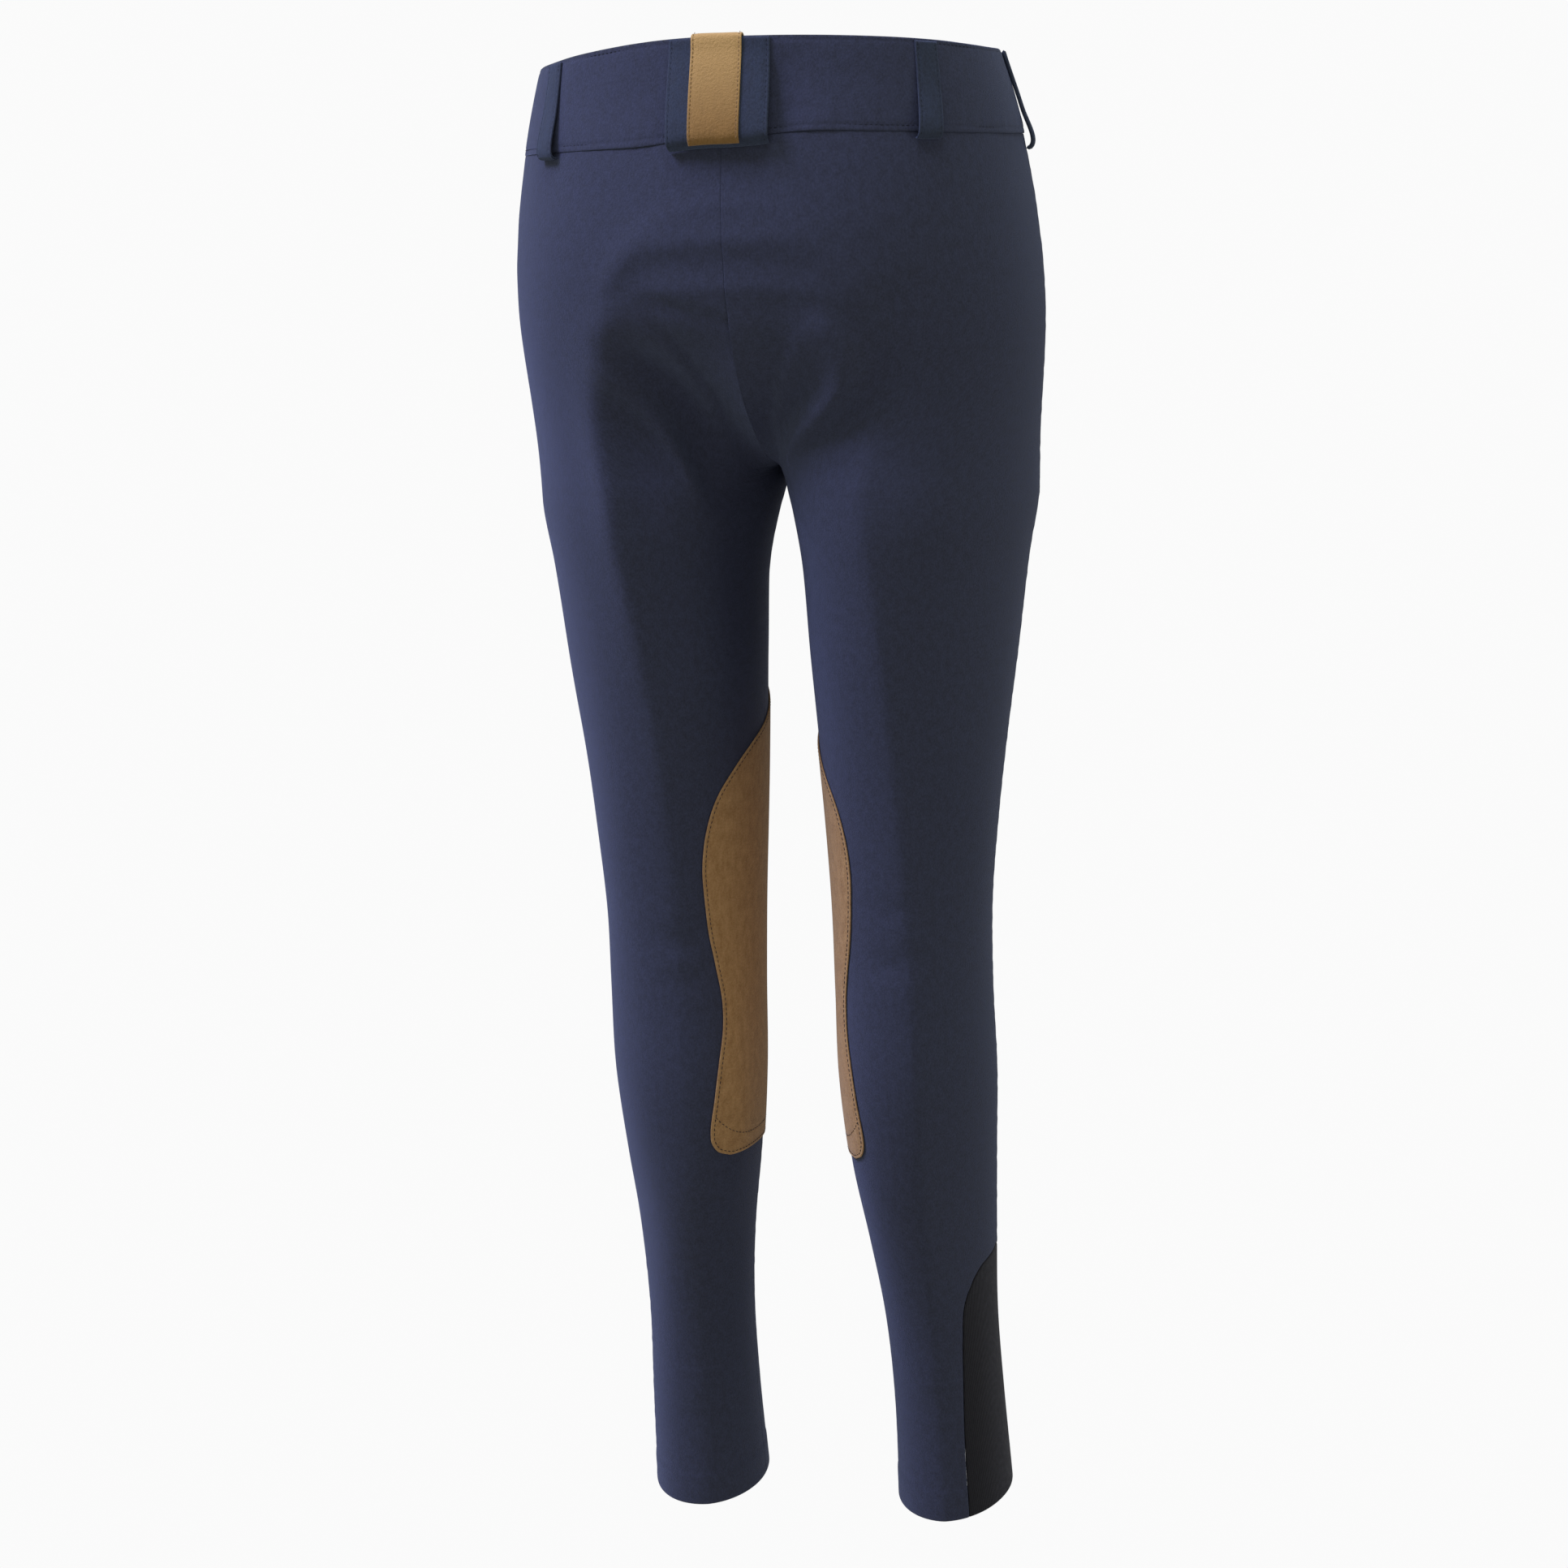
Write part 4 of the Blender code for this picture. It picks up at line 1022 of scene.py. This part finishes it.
# the fly
flyMake = {
    "thickness": 0.0011, "lift": 0.0003, "roll": 0.0005, "rollWidth": 0.0008, "worn": 0.5, "columns": 30,
    "width": 0.036, "lap": 0.004, "top": 0.0010, "bend": 0.080, "end": 0.1334, "trim": 0.0014,
    "stitchRows": (0.0022, 0.0060), "groove": 0.0003, "grooveWidth": 0.0009, "flat": (0.041, 0.133, 0.0048),
}


def flyShape(drop, inset=0.0):
    # straight down to the bend, then round to the centre seam
    turned = np.maximum(drop - flyMake["bend"], 0.0) / (flyMake["end"] - inset - flyMake["bend"])
    return np.sqrt(np.maximum(1.0 - turned**2, 0.0))


def flyLine(inset):
    # the J of stitches
    drops = flyMake["bend"] + (flyMake["end"] - inset - flyMake["bend"]) * np.sin(
        np.linspace(-1.1, 1.0, 90) * math.pi / 2)
    drops = np.concatenate([np.linspace(flyMake["top"] + 0.001, flyMake["bend"], 40)[:-1],
                            drops[drops >= flyMake["bend"]]])
    return drops, 1 - (flyMake["width"] - inset) * flyShape(drops, inset) / girth(drops)


def makeFly():
    make = flyMake
    below = rowsThrough((make["top"] + 0.004, 0.002), (0.118, 0.0008), (make["end"] - make["trim"], 0))
    drops = np.concatenate([make["top"] + edgeSteps, below])
    shape, reach = flyShape(drops), girth(drops)
    arounds = edgedSpread(1 - make["width"] * shape / reach, 1 + make["lap"] * shape / reach,
                          make["columns"], reach)
    relief = sum(grooveAlong(*places(drops, arounds), *flyLine(inset), make) for inset in make["stitchRows"])
    piece = layCloth("flyLap", 1, drops, arounds, make, ("seam", "fold", "fold", "fold"), navyCloth,
                     relief=relief, lift=make["lift"], grain=0.75)
    declare(piece, "fly")


makeFly()
print("fly laid")

# the waist button in its buttonhole
buttonMake = {"radius": 0.0085, "thickness": 0.0028, "around": 1.033, "drop": -0.026, "rim": 0.0016,
              "dish": 0.0007, "hole": 0.0008, "holeOut": 0.0016, "sides": 48}


def overLap(gaps):
    # a height over the face of the band's lap
    return bandMake["proud"] + bandMake["thickness"] + gaps * bandMake["lapGap"] + bandMake["padded"]


def buttonFrame():
    foot, normal = clothPoint(1, buttonMake["drop"], buttonMake["around"], overLap(2))
    turn = Vector(normal).to_track_quat("Z", "Y").to_matrix().to_4x4()
    turn.translation = Vector(foot)
    return turn


def makeButton():
    # a turned disc with a raised rim, drilled with four holes
    make = buttonMake
    radius, top, rim, dished = make["radius"], make["thickness"], make["radius"] - make["rim"], make["dish"]
    profile = [(0.0, 0.0), (radius - 0.0010, 0.0), (radius - 0.0003, 0.0003), (radius, 0.0010),
               (radius, top - 0.0010), (radius - 0.0002, top - 0.0004), (radius - 0.0006, top),
               (rim, top - 0.0001), (rim - 0.0007, top - dished), (0.0, top - dished)]
    disc = bmesh.new()
    chain = [disc.verts.new((x, 0.0, z)) for x, z in profile]
    for first, second in zip(chain, chain[1:]):
        disc.edges.new((first, second))
    bmesh.ops.spin(disc, geom=disc.verts[:] + disc.edges[:], axis=(0, 0, 1), cent=(0, 0, 0),
                   angle=2 * math.pi, steps=make["sides"])
    bmesh.ops.remove_doubles(disc, verts=disc.verts, dist=1e-6)
    bmesh.ops.recalc_face_normals(disc, faces=disc.faces)
    button = meshObject("waistButton", disc)
    drill = bmesh.new()
    for k in range(4):
        turn = math.pi / 4 + k * math.pi / 2
        place = Matrix.Translation((make["holeOut"] * math.cos(turn), make["holeOut"] * math.sin(turn),
                                    top / 2))
        bmesh.ops.create_cone(drill, cap_ends=True, segments=14, radius1=make["hole"], radius2=make["hole"],
                              depth=2 * top, matrix=place)
    driller = meshObject("drill", drill)
    holes = button.modifiers.new("holes", "BOOLEAN")
    holes.operation, holes.object = "DIFFERENCE", driller
    applyModifiers(button)
    bpy.data.objects.remove(driller, do_unlink=True)
    button.data.transform(buttonFrame())
    button.data.materials.clear()
    button.data.materials.append(buttonHorn)
    button.data.shade_smooth()
    button.data.set_sharp_from_angle(angle=math.radians(40))
    attach(button)
    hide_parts("waist_button")


makeButton()
print("button turned")


# stitches: threads sewn along lines that lie on the cloth
def makeSewnLine():
    tree = bpy.data.node_groups.new("sewnLine", "GeometryNodeTree")
    for label, kind in (("Geometry", "Geometry"), ("Pitch", "Float"), ("Length", "Float"), ("Width", "Float"),
                        ("Thread", "Material")):
        tree.interface.new_socket(label, in_out="INPUT", socket_type="NodeSocket" + kind)
    tree.interface.new_socket("Geometry", in_out="OUTPUT", socket_type="NodeSocketGeometry")
    given, result = tree.nodes.new("NodeGroupInput").outputs, tree.nodes.new("NodeGroupOutput").inputs

    def made(kind, inputs=None, **settings):
        return addNode(tree, kind, inputs, **settings)[0]

    line = made("GeometryNodeMeshToCurve", {"Mesh": given["Geometry"]})
    spaced = made("GeometryNodeResampleCurve", {"Curve": line, "Length": given["Pitch"]}, mode="LENGTH")
    out = made("GeometryNodeInputNamedAttribute", {"Name": "out"}, data_type="FLOAT_VECTOR")
    upright = made("FunctionNodeAlignRotationToVector", {"Vector": out}, axis="Z")
    laid = made("FunctionNodeAlignRotationToVector",
                {"Rotation": upright, "Vector": made("GeometryNodeInputTangent")}, axis="X", pivot_axis="Z")
    skew = addNode(tree, "FunctionNodeRandomValue", {2: -0.10, 3: 0.10, "Seed": 4}, data_type="FLOAT")[1]
    twist = made("FunctionNodeAxisAngleToRotation", {"Axis": (0.0, 0.0, 1.0), "Angle": skew})
    turned = made("FunctionNodeRotateRotation", {"Rotation": laid, "Rotate By": twist},
                  rotation_space="LOCAL")
    thread = made("GeometryNodeMeshUVSphere", {"Segments": 6, "Rings": 4, "Radius": 0.5})
    size = made("ShaderNodeCombineXYZ", {"X": given["Length"], "Y": given["Width"], "Z": given["Width"]})
    sewn = made("GeometryNodeInstanceOnPoints",
                {"Points": spaced, "Instance": thread, "Rotation": turned, "Scale": size})
    whole = made("GeometryNodeRealizeInstances", {"Geometry": sewn})
    coloured = made("GeometryNodeSetMaterial", {"Geometry": whole, "Material": given["Thread"]})
    tree.links.new(coloured, result["Geometry"])
    return tree


sewnLine = makeSewnLine()


# how much lower than the face of the cloth a thread's middle lies
threadSunk = 0.0001


def sew(name, lines, thread=navyThread, pitch=0.0032, length=0.0024, width=0.0005,
        closed=False):
    # lines are pairs of point and direction lists
    points, outs, edges = [], [], []
    for place, out in lines:
        start, count = len(points), len(place)
        points += np.asarray(place).tolist()
        outs += np.asarray(out).reshape(-1).tolist()
        edges += [(start + k, start + k + 1) for k in range(count - 1)]
        if closed:
            edges.append((start + count - 1, start))
    mesh = bpy.data.meshes.new(name)
    mesh.from_pydata(points, edges, [])
    mesh.attributes.new("out", "FLOAT_VECTOR", "POINT").data.foreach_set("vector", outs)
    piece = newObject(name, mesh)
    modifier = piece.modifiers.new("sewn", "NODES")
    modifier.node_group = sewnLine
    values = {"Pitch": pitch, "Length": length, "Width": width, "Thread": thread}
    for item in sewnLine.interface.items_tree:
        if item.in_out == "INPUT" and item.name in values:
            modifier[item.identifier] = values[item.name]
    applyModifiers(piece)
    piece.data.shade_smooth()
    attach(piece)


def sewBand():
    make, lines = bandMake, []
    for side, word in sides:
        around = np.linspace(0.004, make["lapEnd"] - 0.006 if side > 0 else 0.985, 260)
        top = bandLift(side, around) + make["thickness"] - threadSunk
        for drop in (-make["stitchUp"], -cut["bandHeight"] + make["stitchDown"]):
            lines.append(clothPoint(side, drop, around, top))
    sew("waistbandStitches", lines)


def sewPatches():
    top = patchMake["lift"] + patchMake["thickness"] - threadSunk
    outline, arc = patchOutline(patchMake["edgeStitch"]), patchArc()
    sew("patchEdgeStitches", [clothPoint(side, *outline, top) for side, word in sides], closed=True)
    sew("patchArcStitches", [clothPoint(side, *arc, top) for side, word in sides])


def sewLoops():
    make, lines, bars = loopMake, [], []
    straps = [(side, make[place], make["lean"], make["width"], narrowPaths[place], make["thickness"][place])
              for side, word in sides for place in ("back", "side")]
    straps.append((1, make["centre"], 0.0, make["centreWidth"], centrePath, make["thickness"]["centre"]))
    for side, around, lean, width, line, thickness in straps:
        face = raisedPath(smoothPath(line, 64)[0], thickness - make["threadSunk"])
        inset = width / 2 - make["stitchIn"]
        for offset in (-inset, inset):
            lines.append(strapPlace(side, around, lean, face[2:-6], offset))
        for row in (3, 5):
            across = [strapPlace(side, around, lean, face[row:row + 1], offset)
                      for offset in np.linspace(-inset, inset, 12)]
            bars.append([np.concatenate(part) for part in zip(*across)])
    sew("loopStitches", lines, width=0.0004)
    sew("loopBars", bars, pitch=0.0009, length=0.0012)


def sewStrip():
    make = loopMake
    line = smoothPath(stripPath, make["stripCount"])[0]
    face = raisedPath(line, make["thickness"]["strip"] - threadSunk)[4:-6]
    inset = make["stripWidth"] / 2 - make["stripStitchIn"]
    lines = [strapPlace(1, make["strip"], 0.0, face, offset) for offset in (-inset, inset)]
    sew("stripStitches", lines, tanThread, pitch=0.0026, length=0.0021)


def sewFly():
    top = flyMake["lift"] + flyMake["thickness"] - threadSunk
    sew("flyStitches", [clothPoint(1, *flyLine(inset), top) for inset in flyMake["stitchRows"]])


def sewButton():
    # two crossed threads through the holes, and the worked edge of the buttonhole
    make, frameOfButton = buttonMake, buttonFrame()
    reach, top = make["holeOut"], make["thickness"] - make["dish"] + 0.0002
    lines = []
    for turn in (math.pi / 4, -math.pi / 4):
        c, s = math.cos(turn), math.sin(turn)
        for nudge in (-0.0003, 0.0003):
            ends = [Vector((sign * reach * c - nudge * s, sign * reach * s + nudge * c, top))
                    for sign in (-1, 0, 1)]
            lines.append(([tuple(frameOfButton @ end) for end in ends],
                          [tuple(frameOfButton.to_3x3() @ Vector((0, 0, 1)))] * 3))
    sew("buttonThread", lines, pitch=0.0008, length=0.0012)
    along = np.linspace(make["around"] - 0.012, make["around"] + 0.028, 40)
    edges = [clothPoint(1, make["drop"] + shift, along, overLap(1)) for shift in (-0.0011, 0.0011)]
    sew("buttonholeStitches", edges, pitch=0.0006, length=0.0007, width=0.0016)


sewBand()
sewPatches()
sewLoops()
sewStrip()
sewFly()
sewButton()
print("stitches sewn")

# floor, lights and camera
view = {"azimuth": 16.8, "elevation": 13.0, "distance": 3.0, "roll": -2.7, "lens": 36 * 5700 / 1932,
        "target": (-0.0126, -0.412)}
stageMake = {"floorHeight": -1.35, "floorSize": 60.0, "seen": 0.96, "fill": 0.36}
lights = [
    # name, azimuth and elevation from the camera's own, distance, size, power, colour
    ("key", -80.0, 55.0, 4.8, 1.8, 238.0, (0.58, 0.60, 1.0)),
    ("top", 0.0, 78.0, 3.2, 1.2, 25.0, (0.78, 0.88, 1.0)),
    ("lowLeft", -80.0, 5.0, 3.2, 1.2, 12.0, (0.85, 1.0, 0.76)),
    ("lowRight", 60.0, 5.0, 3.2, 1.4, 13.0, (0.90, 1.0, 0.82)),
]


def towards(azimuth, elevation):
    a, e = math.radians(azimuth), math.radians(elevation)
    return Vector((math.sin(a) * math.cos(e), -math.cos(a) * math.cos(e), math.sin(e)))


def makeStage():
    # it looks near white to the camera, and lights the cloth only weakly
    material = bpy.data.materials.new("paleFloor")
    material.use_nodes = True
    tree = material.node_tree
    tree.nodes.clear()
    seen, fill = stageMake["seen"], stageMake["fill"]
    weak, glow = (addNode(tree, "ShaderNodeEmission", {"Color": (share, share, share, 1.0)})[0]
                  for share in (fill, seen))
    toCamera = addNode(tree, "ShaderNodeLightPath")["Is Camera Ray"]
    mix = addNode(tree, "ShaderNodeMixShader", {0: toCamera, 1: weak, 2: glow})
    addNode(tree, "ShaderNodeOutputMaterial", {"Surface": mix[0]})
    plane = bmesh.new()
    bmesh.ops.create_grid(plane, x_segments=1, y_segments=1, size=stageMake["floorSize"] / 2,
                          matrix=Matrix.Translation((0, 0, stageMake["floorHeight"])))
    floor = meshObject("floor", plane)
    floor.data.materials.append(material)
    world = bpy.data.worlds.new("studio")
    world.use_nodes = True
    tree = world.node_tree
    tree.nodes.clear()
    strength = remap(tree, addNode(tree, "ShaderNodeLightPath")["Is Camera Ray"], 0.0, 1.0, fill, seen)
    sky = addNode(tree, "ShaderNodeBackground", {"Color": (1.0, 1.0, 1.0, 1.0), "Strength": strength})
    addNode(tree, "ShaderNodeOutputWorld", {"Surface": sky[0]})
    bpy.context.scene.world = world


def makeLights():
    target = Vector((0.0, 0.0, view["target"][1]))
    for name, azimuth, elevation, distance, size, power, colour in lights:
        lamp = bpy.data.lights.new(name, "AREA")
        lamp.shape, lamp.size, lamp.energy, lamp.color = "DISK", size, power, colour
        holder = newObject(name, lamp)
        holder.location = target + towards(view["azimuth"] + azimuth, elevation) * distance
        holder.rotation_euler = (target - holder.location).to_track_quat("-Z", "Y").to_euler()


def makeCamera():
    across, height = view["target"]
    turn = math.radians(view["azimuth"])
    target = Vector((across * math.cos(turn), across * math.sin(turn), height))
    place = target + towards(view["azimuth"], view["elevation"]) * view["distance"]
    lens = bpy.data.cameras.new("camera")
    lens.sensor_width, lens.lens = 36.0, view["lens"]
    camera = newObject("camera", lens)
    camera.matrix_world = (Matrix.Translation(place)
                           @ (target - place).to_track_quat("-Z", "Y").to_matrix().to_4x4()
                           @ Matrix.Rotation(math.radians(view["roll"]), 4, "Z"))
    bpy.context.scene.camera = camera


makeStage()
makeLights()
makeCamera()
bpy.context.scene.view_settings.view_transform = "Standard"
print("scene dressed")
